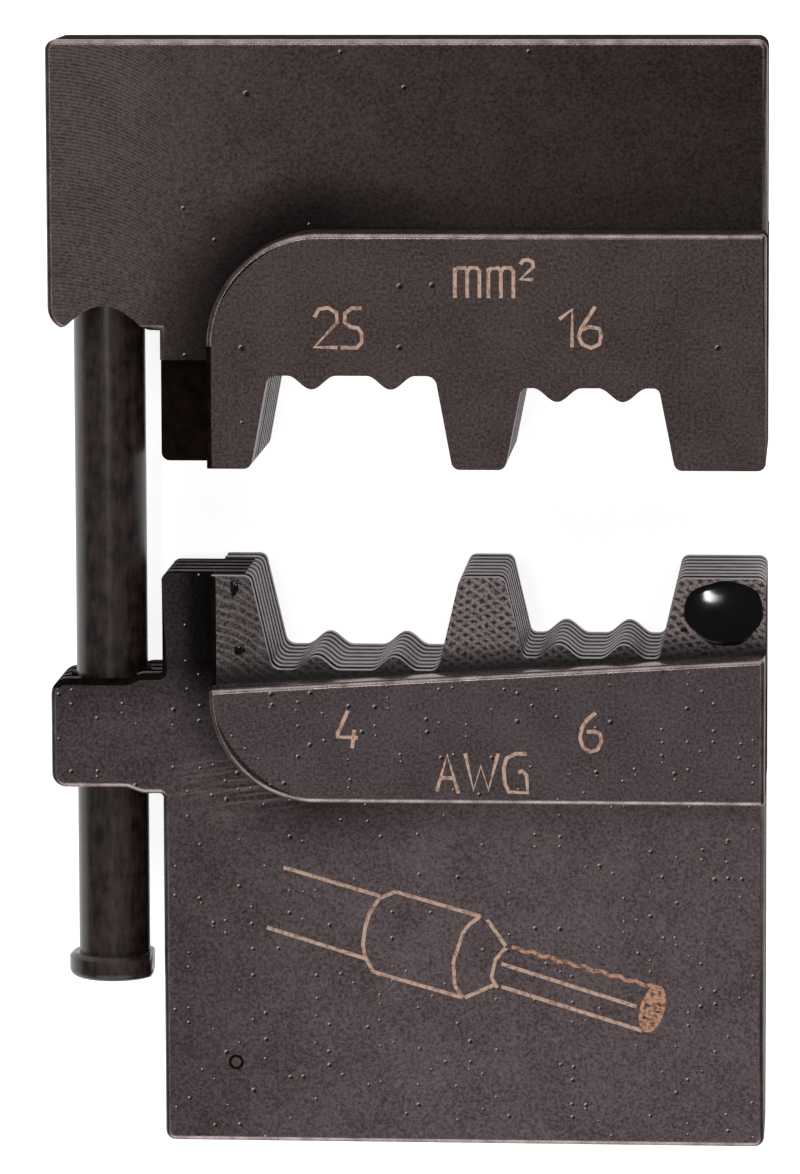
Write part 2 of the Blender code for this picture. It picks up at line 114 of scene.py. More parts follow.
@dataclass
class Net:
    """The shader nodes of one material.

    Args:
        name: The material's name.
    """

    name: str
    material: bpy.types.Material = field(init=False)

    def __post_init__(self) -> None:
        """Make the material with nothing but its output and its shader."""
        self.material = bpy.data.materials.new(self.name)
        self.material.use_nodes = True

    @property
    def shader(self) -> bpy.types.Node:
        """The Principled shader."""
        return self.material.node_tree.nodes["Principled BSDF"]

    @cached_property
    def coords(self) -> bpy.types.NodeSocket:
        """The object's own coordinates."""
        return self.add("TexCoord").outputs["Object"]

    @cached_property
    def place(self) -> bpy.types.bpy_prop_collection:
        """The same coordinates one by one, under X, Y and Z."""
        return self.add("SeparateXYZ", self.coords).outputs

    def add(
        self, kind: str, *values: object, stops: Iterable[tuple[float, str | float]] = (),
        **settings: object,
    ) -> bpy.types.Node:
        """Add a node with its settings, values and links.

        Args:
            kind: The node's type without the leading ShaderNode.
            *values: What feeds its inputs, in their order: a number, vector or colour, or a node
                or output socket to link. A dict feeds the inputs that it names.
            stops: The place and the hex colour or grey share of each stop of a colour ramp.
            **settings: The node's own settings.

        Returns:
            The new node.
        """
        node = self.material.node_tree.nodes.new("ShaderNode" + kind)
        for key, value in settings.items():
            setattr(node, key, value)
        for index, value in enumerate(values):
            named = value if isinstance(value, dict) else {index: value}
            for key, part in named.items():
                self.feed(node.inputs[key], part)
        for index, (place, colour) in enumerate(stops):
            elements = node.color_ramp.elements
            element = elements[index] if index < len(elements) else elements.new(1.0)
            element.position = place
            element.color = (
                linear(colour) if isinstance(colour, str) else (colour, colour, colour, 1.0)
            )
        return node

    def feed(self, socket: bpy.types.NodeSocket, value: object) -> None:
        """Set an input socket, or link it.

        Args:
            socket: The input socket.
            value: A number, vector or colour, or the node or output socket to link.
        """
        if isinstance(value, bpy.types.Node):
            value = value.outputs[0]
        if isinstance(value, bpy.types.NodeSocket):
            self.material.node_tree.links.new(value, socket)
        else:
            socket.default_value = value

    def dress(self, colour: object, roughness: object, normal: object, metallic: float) -> None:
        """Feed the Principled shader.

        Args:
            colour: The base colour.
            roughness: The roughness.
            normal: The bumped normal.
            metallic: How metallic the surface is.
        """
        for socket, value in (
            ("Base Color", colour), ("Roughness", roughness), ("Normal", normal),
            ("Metallic", metallic),
        ):
            self.feed(self.shader.inputs[socket], value)


# Finishes


@dataclass(frozen=True)
class BossField:
    """Where the boss's edge runs, as a distance that the shader can read.

    Args:
        end: The boss's top or bottom edge.
        upwards: 1 where the boss's end is its top, -1 where it is its bottom.
    """

    end: float
    upwards: int

    def distance(self, net: Net) -> bpy.types.Node:
        """Return the node that gives the distance outside the boss's edge, in millimetres.

        Args:
            net: The material's nodes.

        Returns:
            The node with the distance.
        """
        across = net.add("Math", BOSS_LEFT + BOSS_RADIUS, net.place["X"], operation="SUBTRACT")
        inset = BOSS_RADIUS - self.end * self.upwards
        along = net.add(
            "Math", net.place["Y"], float(self.upwards), inset, operation="MULTIPLY_ADD",
        )
        held = [net.add("Math", part, 0.0, operation="MAXIMUM") for part in (across, along)]
        pair = net.add("CombineXYZ", held[0], held[1])
        reach = net.add("VectorMath", pair, operation="LENGTH").outputs["Value"]
        return net.add("Math", reach, per(1.0), -BOSS_RADIUS * per(1.0), operation="MULTIPLY_ADD")


@dataclass(frozen=True)
class BlackenedSteel:
    """Face-milled tool steel under a hot black oxide: a warm near-black with a satin sheen.

    The oxide is finely blotched. Over it lies painted shadow in the corner along the boss, a
    painted fall of light from the pin's side to the free side and a flat share of light on the
    boss. The face mill has left fine arcs, and where the oxide has popped there are pits, each
    with a bright lip that is a painted highlight.

    Args:
        name: The material's name.
        dark: The colour of a thick blotch.
        light: The colour of a thin one.
        boss: The edge of the boss.
        painted_light_spread: The share of painted light across the set, from the pin's side to the
            free side.
        corner: The painted shadow out from the boss's edge, as (millimetres, share of light) stops.
        corner_shadow_lift: How much of that painted shadow lifts away from the boss's rounded corner.
        on_boss: The share of light on the boss, where no painted shadow falls.
        column: The painted shade on the comb's column, as the share of light at its left and right.
        rubbed: Whether the corner is smeared, instead of the block keeping its mill marks.
        noises: The size in millimetres, detail and share of each layer of the blotched tone.
        tones: The range of that tone that runs from dark to light.
        gloss: The roughness, as (tone, roughness) stops.
        depth: How deep the blotches seem to be.
        relief: How strongly they show.
        mark_relief: How much higher the marks stand than the blotches.
        edge_overlap: How far the face's tone reaches onto the boss, in millimetres.
        corner_span: From where to where across the set the corner's painted shadow lifts.
        column_span: Where the column's left and right are.
        column_reach: How far below the boss's end the column's painted shade begins and is full.
        line_colour: The colour of the mill marks and smears.
        pit_and_highlight_colours: The colours of a pit and of its lip, which is a painted highlight.
        mill_centre: The middle of the mill's arcs.
        mill_radius: Their radius.
        mill_pitch: The mill's feed, in millimetres.
        mill_fade: Where the arcs fade out, in millimetres to the right of their middle.
        mill_rise: How far up the arcs grow to their full strength.
        mill_strength: That full strength.
        mill_low: The share of it that is left at the height of their middle.
        rub_middle: The middle of the smears.
        rub_angle: How steeply they were dragged.
        rub_streak: The length and width of a streak, in millimetres.
        rub_reach: How far they reach along and across, in millimetres.
        rub_tones: The range of the streaks that runs from none to full.
        rub_core: The share of their reach in which they keep their strength.
        rub_strength: That strength.
        rub_gap: How far from the boss they begin, in millimetres.
        pit_spacing: The spacing of the places where a pit may be, in millimetres.
        pit_width: The size of the largest pit, as a share of the spacing.
        pit_share: The share of the places that have one.
        pit_sizes: The range of numbers by which a pit is smaller than that.
        pit_core: The share of it that is at its full depth.
        lip_shift: How far the lip's painted highlight stands off to one side.
        lip_size: Its size, as a share of the pit's.
        pit_strengths: How strongly a pit and its lip show.
    """

    name: str
    dark: str
    light: str
    boss: BossField
    painted_light_spread: tuple[Point, ...]
    corner: tuple[Point, ...]
    corner_shadow_lift: float
    on_boss: float
    column: Point = (1.0, 1.0)
    rubbed: bool = False
    noises: tuple[tuple[float, float, float], ...] = (
        (0.15, 3.0, 0.5), (0.06, 1.0, 0.36), (2.4, 3.0, 0.14),
    )
    tones: Point = (0.37, 0.63)
    gloss: tuple[Point, Point] = ((0.3, 0.4), (0.7, 0.54))
    depth: float = 0.01 * MM
    relief: float = 0.7
    mark_relief: float = 1.5
    edge_overlap: float = 0.02
    corner_span: Point = (-4 * MM, 3 * MM)
    column_span: Point = (-10.9 * MM, -10.2 * MM)
    column_reach: Point = (3.6, 6.2)
    line_colour: str = "857874"
    pit_and_highlight_colours: tuple[str, str] = ("0B0808", "BDB6B0")
    mill_centre: Point = (-17.2 * MM, 8.0 * MM)
    mill_radius: float = 10.0 * MM
    mill_pitch: float = 0.17
    mill_fade: Point = (4.0, 10.0)
    mill_rise: float = 15.0 * MM
    mill_strength: float = 0.3
    mill_low: float = 0.25
    rub_middle: Point = (-8.2 * MM, -9.3 * MM)
    rub_angle: float = math.radians(9.0)
    rub_streak: Point = (3.2, 0.22)
    rub_reach: Point = (4.4, 2.0)
    rub_tones: Point = (0.46, 0.7)
    rub_core: float = 0.2
    rub_strength: float = 0.6
    rub_gap: float = 0.25
    pit_spacing: float = 1.5
    pit_width: float = 0.10
    pit_share: float = 0.06
    pit_sizes: Point = (0.8, 2.2)
    pit_core: float = 0.6
    lip_shift: float = 0.06 * MM
    lip_size: float = 0.8
    pit_strengths: Point = (0.8, 0.9)

    def make(self) -> bpy.types.Material:
        """Return the material.

        Returns:
            The material, with all its nodes.
        """
        net = Net(self.name)
        layers = []
        tone: object = 0.0
        for size, detail, share in self.noises:
            noise = net.add(
                "TexNoise", {"Vector": net.coords, "Scale": per(size), "Detail": detail},
            )
            layers.append(noise.outputs["Fac"])
            tone = net.add("Math", layers[-1], share, tone, operation="MULTIPLY_ADD")
        skin = net.add("ValToRGB", tone, stops=list(zip(self.tones, (self.dark, self.light))))
        away = self.boss.distance(net)
        lines = self.rubs(net, away) if self.rubbed else self.mill_arcs(net)
        pits, lip_highlights = self.pits(net)
        # The oxide's own tone, times the painted light and shade.
        toned = net.add(
            "Mix", {FACTOR: 1.0, COLOUR_A: skin, COLOUR_B: self.shade(net, away)},
            data_type="RGBA", blend_type="MULTIPLY",
        ).outputs[MIXED_COLOUR]
        for factor, colour in zip((lines, pits, lip_highlights), (self.line_colour, *self.pit_and_highlight_colours)):
            toned = net.add(
                "Mix", {FACTOR: factor, COLOUR_A: toned, COLOUR_B: linear(colour)},
                data_type="RGBA",
            ).outputs[MIXED_COLOUR]
        height = net.add("Math", lines, self.mark_relief, layers[0], operation="MULTIPLY_ADD")
        height = net.add("Math", height, pits, operation="SUBTRACT")
        bump = net.add(
            "Bump", {"Height": height, "Distance": self.depth, "Strength": self.relief},
        )
        rough = net.add("ValToRGB", tone, stops=self.gloss)
        net.dress(toned, rough, bump, 1.0)
        return net.material

    def shade(self, net: Net, away: bpy.types.Node) -> bpy.types.Node:
        """Return the node of painted light and shade, as the share of light left at each place.

        Args:
            net: The material's nodes.
            away: The distance from the boss's edge, in millimetres.

        Returns:
            The node with the share of light.
        """
        # Painted light across the set and painted shadow out from the boss's edge.
        across = net.add("Math", net.place["X"], 1 / SET_WIDTH, 0.5, operation="MULTIPLY_ADD")
        painted_light_spread = net.add("ValToRGB", across, stops=self.painted_light_spread)
        reach = self.corner[-1][0]
        outwards = net.add("Math", away, 1 / reach, operation="MULTIPLY")
        corner = net.add(
            "ValToRGB", outwards, stops=[(stop / reach, share) for stop, share in self.corner],
        )
        lift = net.add("MapRange", net.place["X"], *self.corner_span, 0.0, self.corner_shadow_lift)
        corner = net.add("Math", corner, lift, operation="ADD")
        least = net.add("Math", painted_light_spread, corner, operation="MINIMUM")
        beside = self.beside(net)
        least = net.add("Math", least, beside, operation="MULTIPLY")
        outside = net.add("Math", away, -self.edge_overlap, operation="GREATER_THAN")
        return net.add(
            "Mix", {FACTOR: outside, NUMBER_A: self.on_boss, NUMBER_B: least}, data_type="FLOAT",
        )

    def beside(self, net: Net) -> bpy.types.Node:
        """Return the node of painted shade that darkens the column beside the teeth.

        Args:
            net: The material's nodes.

        Returns:
            The node with the share.
        """
        # Painted shade on the column beside the teeth.
        share = net.add("MapRange", net.place["X"], *self.column_span, *self.column)
        inwards = -self.boss.upwards * MM
        begins, full = (self.boss.end + reach * inwards for reach in self.column_reach)
        return net.add("MapRange", net.place["Y"], begins, full, 1.0, share)

    def mill_arcs(self, net: Net) -> bpy.types.Node:
        """Return the node that draws the face mill's arcs, one feed apart.

        Args:
            net: The material's nodes.

        Returns:
            The node with the arcs, from 0 to 1.
        """
        aside = net.add("Math", net.place["X"], self.mill_centre[0], operation="SUBTRACT")
        square = net.add("Math", aside, aside, operation="MULTIPLY")
        left = net.add("Math", self.mill_radius ** 2, square, operation="SUBTRACT")
        left = net.add("Math", left, 0.0, operation="MAXIMUM")
        rise = net.add("Math", left, operation="SQRT")
        phase = net.add("Math", net.place["Y"], rise, operation="SUBTRACT")
        turns = net.add("Math", phase, math.tau * per(self.mill_pitch), operation="MULTIPLY")
        wave = net.add("Math", turns, operation="SINE")
        near = net.add(
            "MapRange", aside, *(reach * MM for reach in self.mill_fade), self.mill_strength, 0.0,
        )
        high = net.add(
            "MapRange", net.place["Y"], self.mill_centre[1], self.mill_centre[1] + self.mill_rise,
            self.mill_low, 1.0,
        )
        shown = net.add("Math", wave, near, operation="MULTIPLY")
        shown = net.add("Math", shown, high, operation="MULTIPLY")
        return net.add("Math", shown, 0.0, operation="MAXIMUM")

    def rubs(self, net: Net, away: bpy.types.Node) -> bpy.types.Node:
        """Return the node that draws the pale smears dragged out of the boss's corner.

        Args:
            net: The material's nodes.
            away: The distance from the boss's edge, in millimetres.

        Returns:
            The node with the smears, from 0 to 1.
        """
        from_middle = net.add(
            "VectorMath", net.add("CombineXYZ", net.place["X"], net.place["Y"]),
            (*self.rub_middle, 0), operation="SUBTRACT",
        )
        dragged = net.add("Mapping", {"Vector": from_middle, "Rotation": (0, 0, -self.rub_angle)})
        drawn_out = net.add(
            "VectorMath", dragged, (*map(per, self.rub_streak), 1.0), operation="MULTIPLY",
        )
        streak = net.add("TexNoise", {"Vector": drawn_out, "Scale": 1.0, "Detail": 3.0})
        pale = net.add(
            "ValToRGB", streak.outputs["Fac"], stops=list(zip(self.rub_tones, (0.0, 1.0))),
        )
        reach = net.add(
            "VectorMath", from_middle, (*map(per, self.rub_reach), 0), operation="MULTIPLY",
        )
        reach = net.add("VectorMath", reach, operation="LENGTH").outputs["Value"]
        near = net.add("MapRange", reach, self.rub_core, 1.0, self.rub_strength, 0.0)
        outside = net.add("Math", away, self.rub_gap, operation="GREATER_THAN")
        near = net.add("Math", near, outside, operation="MULTIPLY")
        return net.add("Math", pale, near, operation="MULTIPLY")

    def pits(self, net: Net) -> tuple[bpy.types.Node, bpy.types.Node]:
        """Return the nodes that draw the pits and the painted highlight on one side of each.

        Args:
            net: The material's nodes.

        Returns:
            The pits and their painted highlights, from 0 to 1.
        """
        made = []
        lip_width = self.lip_size * self.pit_width
        for offset, size in ((0.0, self.pit_width), (self.lip_shift, lip_width)):
            moved = net.add("VectorMath", net.coords, (offset, -offset, 0), operation="ADD")
            cells = net.add(
                "TexVoronoi", {"Vector": moved, "Scale": per(self.pit_spacing)},
                voronoi_dimensions="2D",
            )
            hue = net.add("SeparateColor", cells.outputs["Color"])
            chosen = net.add("Math", hue.outputs["Red"], 1 - self.pit_share, operation="GREATER_THAN")
            smaller = net.add("MapRange", hue.outputs["Green"], 0.0, 1.0, *self.pit_sizes)
            out = net.add("Math", cells.outputs["Distance"], smaller, operation="MULTIPLY")
            spot = net.add("ValToRGB", out, stops=[(size * self.pit_core, 1.0), (size, 0.0)])
            made.append(net.add("Math", spot, chosen, operation="MULTIPLY"))
        pit_strength, lip_strength = self.pit_strengths
        # The lip is a painted highlight, a pale crescent left on one side of each pit.
        lip_highlights = net.add("Math", made[1], made[0], operation="SUBTRACT")
        lip_highlights = net.add("Math", lip_highlights, lip_strength, operation="MULTIPLY", use_clamp=True)
        pits = net.add("Math", made[0], pit_strength, operation="MULTIPLY")
        return pits, lip_highlights


@dataclass(frozen=True)
class CutSteel:
    """Wire-cut, sawn or rubbed tool steel: a fine matt grain with broader stains over it.

    Args:
        name: The material's name.
        dark: The colour of the stains.
        light: The colour of the clean metal.
        roughness: The shader's roughness.
        sheen: The share of a bare surface's gloss that the scale lets through.
        grain: The size of the grain across the set, along it and through it, in millimetres.
        metallic: How metallic it is.
        soft_edge: The radius by which the shader rounds its edges, in millimetres.
        aside: The share of light on what looks across the set, as painted shade on those sides.
        slant: How far across a face has to look for that to begin, and to be full.
        stain: The size of the stains, in millimetres.
        shares: How much the grain and the stains count.
        tones: The range of both that runs from dark to light.
        roughness_spread: How far the roughness strays up and down with the grain.
        depth: How deep the grain seems to be.
        relief: How strongly it shows.
    """

    name: str
    dark: str
    light: str
    roughness: float = 0.42
    sheen: float = 0.5
    grain: tuple[float, float, float] = (0.09, 0.09, 0.09)
    metallic: float = 0.8
    soft_edge: float = 0.05
    aside: float = 1.0
    slant: Point = (0.05, 0.45)
    stain: float = 0.8
    shares: Point = (0.4, 0.6)
    tones: Point = (0.38, 0.62)
    roughness_spread: float = 0.08
    depth: float = 0.008 * MM
    relief: float = 0.6

    def make(self) -> bpy.types.Material:
        """Return the material.

        Returns:
            The material, with all its nodes.
        """
        net = Net(self.name)
        stretched = net.add(
            "VectorMath", net.coords, tuple(per(size) for size in self.grain),
            operation="MULTIPLY",
        )
        grain = net.add("TexNoise", {"Vector": stretched, "Scale": 1.0, "Detail": 3.0})
        stain = net.add("TexNoise", {"Vector": net.coords, "Scale": per(self.stain), "Detail": 4.0})
        of_grain, of_stain = self.shares
        part = net.add("Math", stain.outputs["Fac"], of_stain, operation="MULTIPLY")
        tone = net.add("Math", grain.outputs["Fac"], of_grain, part, operation="MULTIPLY_ADD")
        skin = net.add("ValToRGB", tone, stops=list(zip(self.tones, (self.dark, self.light))))
        # Painted shade on what looks across the set, full once it turns far enough.
        if self.aside < 1.0:
            looks = net.add("SeparateXYZ", net.add("NewGeometry").outputs["Normal"])
            across = net.add("Math", looks.outputs["X"], operation="ABSOLUTE")
            side_shade = net.add("MapRange", across, *self.slant, 1.0, self.aside)
            skin = net.add(
                "Mix", {FACTOR: 1.0, COLOUR_A: skin, COLOUR_B: side_shade}, data_type="RGBA",
                blend_type="MULTIPLY",
            ).outputs[MIXED_COLOUR]
        rounded_off = net.add("Bevel", self.soft_edge * MM, samples=4)
        bump = net.add("Bump", {
            "Height": tone, "Distance": self.depth, "Strength": self.relief,
            "Normal": rounded_off,
        })
        rough = net.add(
            "MapRange", grain.outputs["Fac"], 0.0, 1.0, self.roughness - self.roughness_spread,
            self.roughness + self.roughness_spread,
        )
        net.dress(skin, rough, bump, self.metallic)
        net.shader.inputs["Specular IOR Level"].default_value = self.sheen
        return net.material


@dataclass(frozen=True)
class MilledTooth:
    """The front of a tooth, milled back in two passes that cross in a coarse woven pattern.

    Args:
        name: The material's name.
        dark: The colour between the cutter's lines.
        light: The colour of the lines.
        foot: Where the shelf's foot stands at the middle of the set.
        foot_slope: How much the foot climbs across the set.
        pitch: The cutter's feed, in millimetres.
        centres: The middles of the arcs of both passes.
        crossing: Where the second pass comes in and the tone lightens, from left to right.
        before_crossing: The shares of the second pass and of the tone to the left of it.
        second_pass: The strength of the second pass against the first.
        swerve: The size in millimetres of the patches in which the lines swerve, and how far.
        grain: The size of the fine grain, in millimetres.
        line_share: How much the lines count against the grain.
        tones: The range of both that runs from dark to light.
        foot_band: From where to where above its foot the painted shadow of the shelf fades.
        foot_light: The share of light left in that painted shadow at the foot.
        depth: How deep the lines seem to be.
        relief: How strongly they show.
        roughness: The shader's roughness.
        metallic: How metallic it is.
    """

    name: str
    dark: str
    light: str
    foot: float
    foot_slope: float
    pitch: float = 0.36
    centres: tuple[Point, Point] = ((-37.0 * MM, -53.5 * MM), (20.5 * MM, -31.3 * MM))
    crossing: Point = (-7.0 * MM, 0.0)
    before_crossing: Point = (0.2, 0.6)
    second_pass: float = 0.75
    swerve: Point = (2.2, 14.0)
    grain: float = 0.1
    line_share: float = 0.24
    tones: Point = (0.36, 0.82)
    foot_band: Point = (0.2 * MM, 1.3 * MM)
    foot_light: float = 0.08
    depth: float = 0.015 * MM
    relief: float = 0.7
    roughness: float = 0.45
    metallic: float = 0.6

    def make(self) -> bpy.types.Material:
        """Return the material.

        Returns:
            The material, with all its nodes.
        """
        net = Net(self.name)
        patch, far = self.swerve
        jitter = net.add("TexNoise", {"Vector": net.coords, "Scale": per(patch), "Detail": 1.0})
        grain = net.add("TexNoise", {"Vector": net.coords, "Scale": per(self.grain), "Detail": 2.0})
        waves = []
        for centre in self.centres:
            reach = net.add(
                "VectorMath", net.add("CombineXYZ", net.place["X"], net.place["Y"]), (*centre, 0),
                operation="DISTANCE",
            ).outputs["Value"]
            turns = net.add(
                "Math", reach, math.tau * per(self.pitch),
                net.add("Math", jitter.outputs["Fac"], far, operation="MULTIPLY"),
                operation="MULTIPLY_ADD",
            )
            waves.append(net.add("Math", turns, operation="SINE"))
        # The second pass fades in, and the tone is darker, to the left of the crossing.
        crossed, darker_left = (
            net.add("MapRange", net.place["X"], *self.crossing, share, 1.0)
            for share in self.before_crossing
        )
        second = net.add("Math", waves[1], crossed, operation="MULTIPLY")
        second = net.add("Math", second, self.second_pass, operation="MULTIPLY")
        weave = net.add("Math", waves[0], second, operation="MAXIMUM")
        tone = net.add(
            "Math", weave, self.line_share, grain.outputs["Fac"], operation="MULTIPLY_ADD",
        )
        skin = net.add("ValToRGB", tone, stops=list(zip(self.tones, (self.dark, self.light))))
        # Painted shadow at the shelf's foot, times the darker tone left of the crossing.
        climb = net.add(
            "Math", net.place["X"], -self.foot_slope, net.place["Y"], operation="MULTIPLY_ADD",
        )
        band = [self.foot + above for above in self.foot_band]
        shade = net.add("MapRange", climb, *band, self.foot_light, 1.0)
        shade = net.add("Math", shade, darker_left, operation="MULTIPLY")
        skin = net.add(
            "Mix", {FACTOR: 1.0, COLOUR_A: skin, COLOUR_B: shade}, data_type="RGBA",
            blend_type="MULTIPLY",
        ).outputs[MIXED_COLOUR]
        bump = net.add("Bump", {"Height": tone, "Distance": self.depth, "Strength": self.relief})
        net.dress(skin, self.roughness, bump, self.metallic)
        return net.material


@dataclass(frozen=True)
class EtchedLine:
    """A laser-etched line, a dry pale tan where the beam has burnt the oxide off the steel.

    Args:
        name: The material's name.
        pale: The colour of the clean line.
        brown: The colour where some oxide is left.
        patch: The size of such a place, in millimetres.
        tones: The range of the patches that runs from brown to pale.
        depth: How deep they seem to be.
        roughness: The shader's roughness.
    """

    name: str
    pale: str = "C0A08F"
    brown: str = "8C6B59"
    patch: float = 0.2
    tones: Point = (0.34, 0.54)
    depth: float = 0.01 * MM
    roughness: float = 0.75

    def make(self) -> bpy.types.Material:
        """Return the material.

        Returns:
            The material, with all its nodes.
        """
        net = Net(self.name)
        burn = net.add("TexNoise", {"Vector": net.coords, "Scale": per(self.patch), "Detail": 3.0})
        skin = net.add(
            "ValToRGB", burn.outputs["Fac"], stops=list(zip(self.tones, (self.brown, self.pale))),
        )
        bump = net.add("Bump", {"Height": burn.outputs["Fac"], "Distance": self.depth})
        net.dress(skin, self.roughness, bump, 0.0)
        return net.material


@dataclass(frozen=True)
class BlackLacquer:
    """A drop of black lacquer dried on the metal: wet-looking, domed and slightly puckered.

    Args:
        name: The material's name.
        colour: The lacquer's colour.
        thin: Its colour where it has run thin.
        dome: How high its skin seems to stand, in millimetres.
        pucker: The size in millimetres and the height, against the dome's, of its puckers.
        tones: The range of the puckers that runs from the colour to the thin one.
        roughness: The shader's roughness.
        sheen: How much it mirrors.
    """

    name: str
    colour: str = "040303"
    thin: str = "0C0808"
    dome: float = 0.09
    pucker: Point = (1.4, 0.5)
    tones: Point = (0.3, 0.8)
    roughness: float = 0.08
    sheen: float = 0.22

    def make(self) -> bpy.types.Material:
        """Return the material.

        Returns:
            The material, with all its nodes.
        """
        net = Net(self.name)
        size, lift = self.pucker
        pucker = net.add("TexNoise", {"Vector": net.coords, "Scale": per(size), "Detail": 0.0})
        skin = net.add(
            "ValToRGB", pucker.outputs["Fac"], stops=list(zip(self.tones, (self.colour, self.thin))),
        )
        out = net.add(
            "VectorMath", net.add("TexCoord").outputs["Generated"], (0.5, 0.5, 0.5),
            operation="SUBTRACT",
        )
        flat = net.add("VectorMath", out, (2.0, 2.0, 0.0), operation="MULTIPLY")
        square = net.add("VectorMath", flat, flat, operation="DOT_PRODUCT")
        height = net.add(
            "Math", square.outputs["Value"], -1.0,
            net.add("Math", pucker.outputs["Fac"], lift, operation="MULTIPLY"),
            operation="MULTIPLY_ADD",
        )
        bump = net.add("Bump", {"Height": height, "Distance": self.dome * MM})
        net.dress(skin, self.roughness, bump, 0.0)
        net.shader.inputs["Specular IOR Level"].default_value = self.sheen
        return net.material


@dataclass(frozen=True)
class PaleFloor:
    """Matt white studio paper, which shows white and keeps the shadow.

    Args:
        name: The material's name.
        glow: The light that it adds to what the camera sees of it.
        fibre: The size of its fibres, in millimetres.
        tones: Their colours, as (tone, colour) stops.
        depth: How deep they seem to be.
        roughness: The shader's roughness.
        sheen: How much it mirrors.
    """

    name: str = "matt_white_paper"
    glow: float = 0.79
    fibre: float = 1.2
    tones: tuple[tuple[float, str], ...] = ((0.3, "F0EFEE"), (0.7, "F6F6F5"))
    depth: float = 0.01 * MM
    roughness: float = 0.9
    sheen: float = 0.1

    def make(self) -> bpy.types.Material:
        """Return the material.

        Returns:
            The material, with all its nodes.
        """
        net = Net(self.name)
        nodes = net.material.node_tree.nodes
        fibre = net.add("TexNoise", {"Vector": net.coords, "Scale": per(self.fibre), "Detail": 4.0})
        tone = net.add("ValToRGB", fibre.outputs["Fac"], stops=self.tones)
        bump = net.add("Bump", {"Height": fibre.outputs["Fac"], "Distance": self.depth})
        net.dress(tone, self.roughness, bump, 0.0)
        net.shader.inputs["Specular IOR Level"].default_value = self.sheen
        path = net.add("LightPath")
        seen = net.add(
            "Math", path.outputs["Is Camera Ray"], path.outputs["Is Glossy Ray"],
            operation="MAXIMUM",
        )
        seen = net.add("Math", seen, path.outputs["Is Transmission Ray"], operation="MAXIMUM")
        glow = net.add("Emission", linear("FFFFFF"), self.glow)
        lit = net.add("AddShader", net.shader, glow)
        both = net.add("MixShader", seen, net.shader, lit)
        net.feed(nodes["Material Output"].inputs["Surface"], both)
        return net.material


# Shapes


def link(obj: bpy.types.Object) -> bpy.types.Object:
    """Put an object in the scene and return it."""
    bpy.context.scene.collection.objects.link(obj)
    return obj


def corner_arc(
    before: Vector, corner: Vector, after: Vector, radius: float, steps: int,
) -> list[Vector]:
    """Return the points that round one corner of an outline.

    Args:
        before: The corner before it.
        corner: The corner itself.
        after: The corner after it.
        radius: The radius that it gets.
        steps: How many stretches the arc has.

    Returns:
        The arc's points, in the outline's order.
    """
    to_before = (before - corner).normalized()
    to_after = (after - corner).normalized()
    half_angle = to_before.angle(to_after) / 2
    longest = LONGEST_TANGENT * min((before - corner).length, (after - corner).length)
    tangent = min(radius / math.tan(half_angle), longest)
    start = corner + to_before * tangent
    end = corner + to_after * tangent
    centre = corner + (to_before + to_after).normalized() * (tangent / math.cos(half_angle))
    first = start - centre
    turn = first.angle_signed(end - centre)
    points = []
    for step in range(steps + 1):
        angle = -turn * step / steps
        points.append(centre + Vector((
            first.x * math.cos(angle) - first.y * math.sin(angle),
            first.x * math.sin(angle) + first.y * math.cos(angle),
        )))
    return points


def rounded(corners: Sequence[Corner]) -> list[Vector]:
    """Turn corners into the points of a closed outline.

    Args:
        corners: The place across and along, the radius and the arc's steps of each corner.

    Returns:
        The outline's points.
    """
    spots = [Vector(corner[:2]) for corner in corners]
    points: list[Vector] = []
    for index, (_, _, radius, steps) in enumerate(corners):
        if radius <= 0:
            points.append(spots[index])
            continue
        after = spots[(index + 1) % len(spots)]
        points.extend(corner_arc(spots[index - 1], spots[index], after, radius, steps))
    return points


def meshed(source: bpy.types.Object, name: str) -> bpy.types.Object:
    """Return a new mesh object of a source as evaluated, welded and closed.

    Args:
        source: The object to evaluate.
        name: The new object's name.

    Returns:
        The new object, in the scene.
    """
    bpy.context.view_layer.update()
    depsgraph = bpy.context.evaluated_depsgraph_get()
    mesh = bpy.data.meshes.new_from_object(source.evaluated_get(depsgraph), depsgraph=depsgraph)
    shape = bmesh.new()
    shape.from_mesh(mesh)
    bmesh.ops.remove_doubles(shape, verts=shape.verts, dist=WELD_DISTANCE)
    rims = [edge for edge in shape.edges if edge.is_boundary]
    if rims:
        bmesh.ops.edgeloop_fill(shape, edges=rims)
    bmesh.ops.dissolve_limit(
        shape, angle_limit=FLAT_ANGLE, verts=shape.verts, edges=shape.edges,
    )
    bmesh.ops.recalc_face_normals(shape, faces=shape.faces)
    shape.to_mesh(mesh)
    shape.free()
    mesh.name = name
    solid = bpy.data.objects.new(name, mesh)
    solid.matrix_world = source.matrix_world.copy()
    return link(solid)


def slab(name: str, corners: Sequence[Corner], low: float, high: float) -> bpy.types.Object:
    """Extrude an outline between two heights.

    Args:
        name: The object's name.
        corners: The outline's corners.
        low: The height of its back.
        high: The height of its front.

    Returns:
        A closed mesh object.
    """
    curve = bpy.data.curves.new(name, "CURVE")
    curve.dimensions = "2D"
    curve.fill_mode = "NONE"
    curve.extrude = (high - low) / 2
    points = rounded(corners)
    spline = curve.splines.new("POLY")
    spline.points.add(len(points) - 1)
    for spot, point in zip(spline.points, points):
        spot.co = (point.x, point.y, 0, 1)
    spline.use_cyclic_u = True
    source = link(bpy.data.objects.new(name + "_outline", curve))
    source.location.z = (low + high) / 2
    solid = meshed(source, name)
    bpy.data.objects.remove(source, do_unlink=True)
    return solid


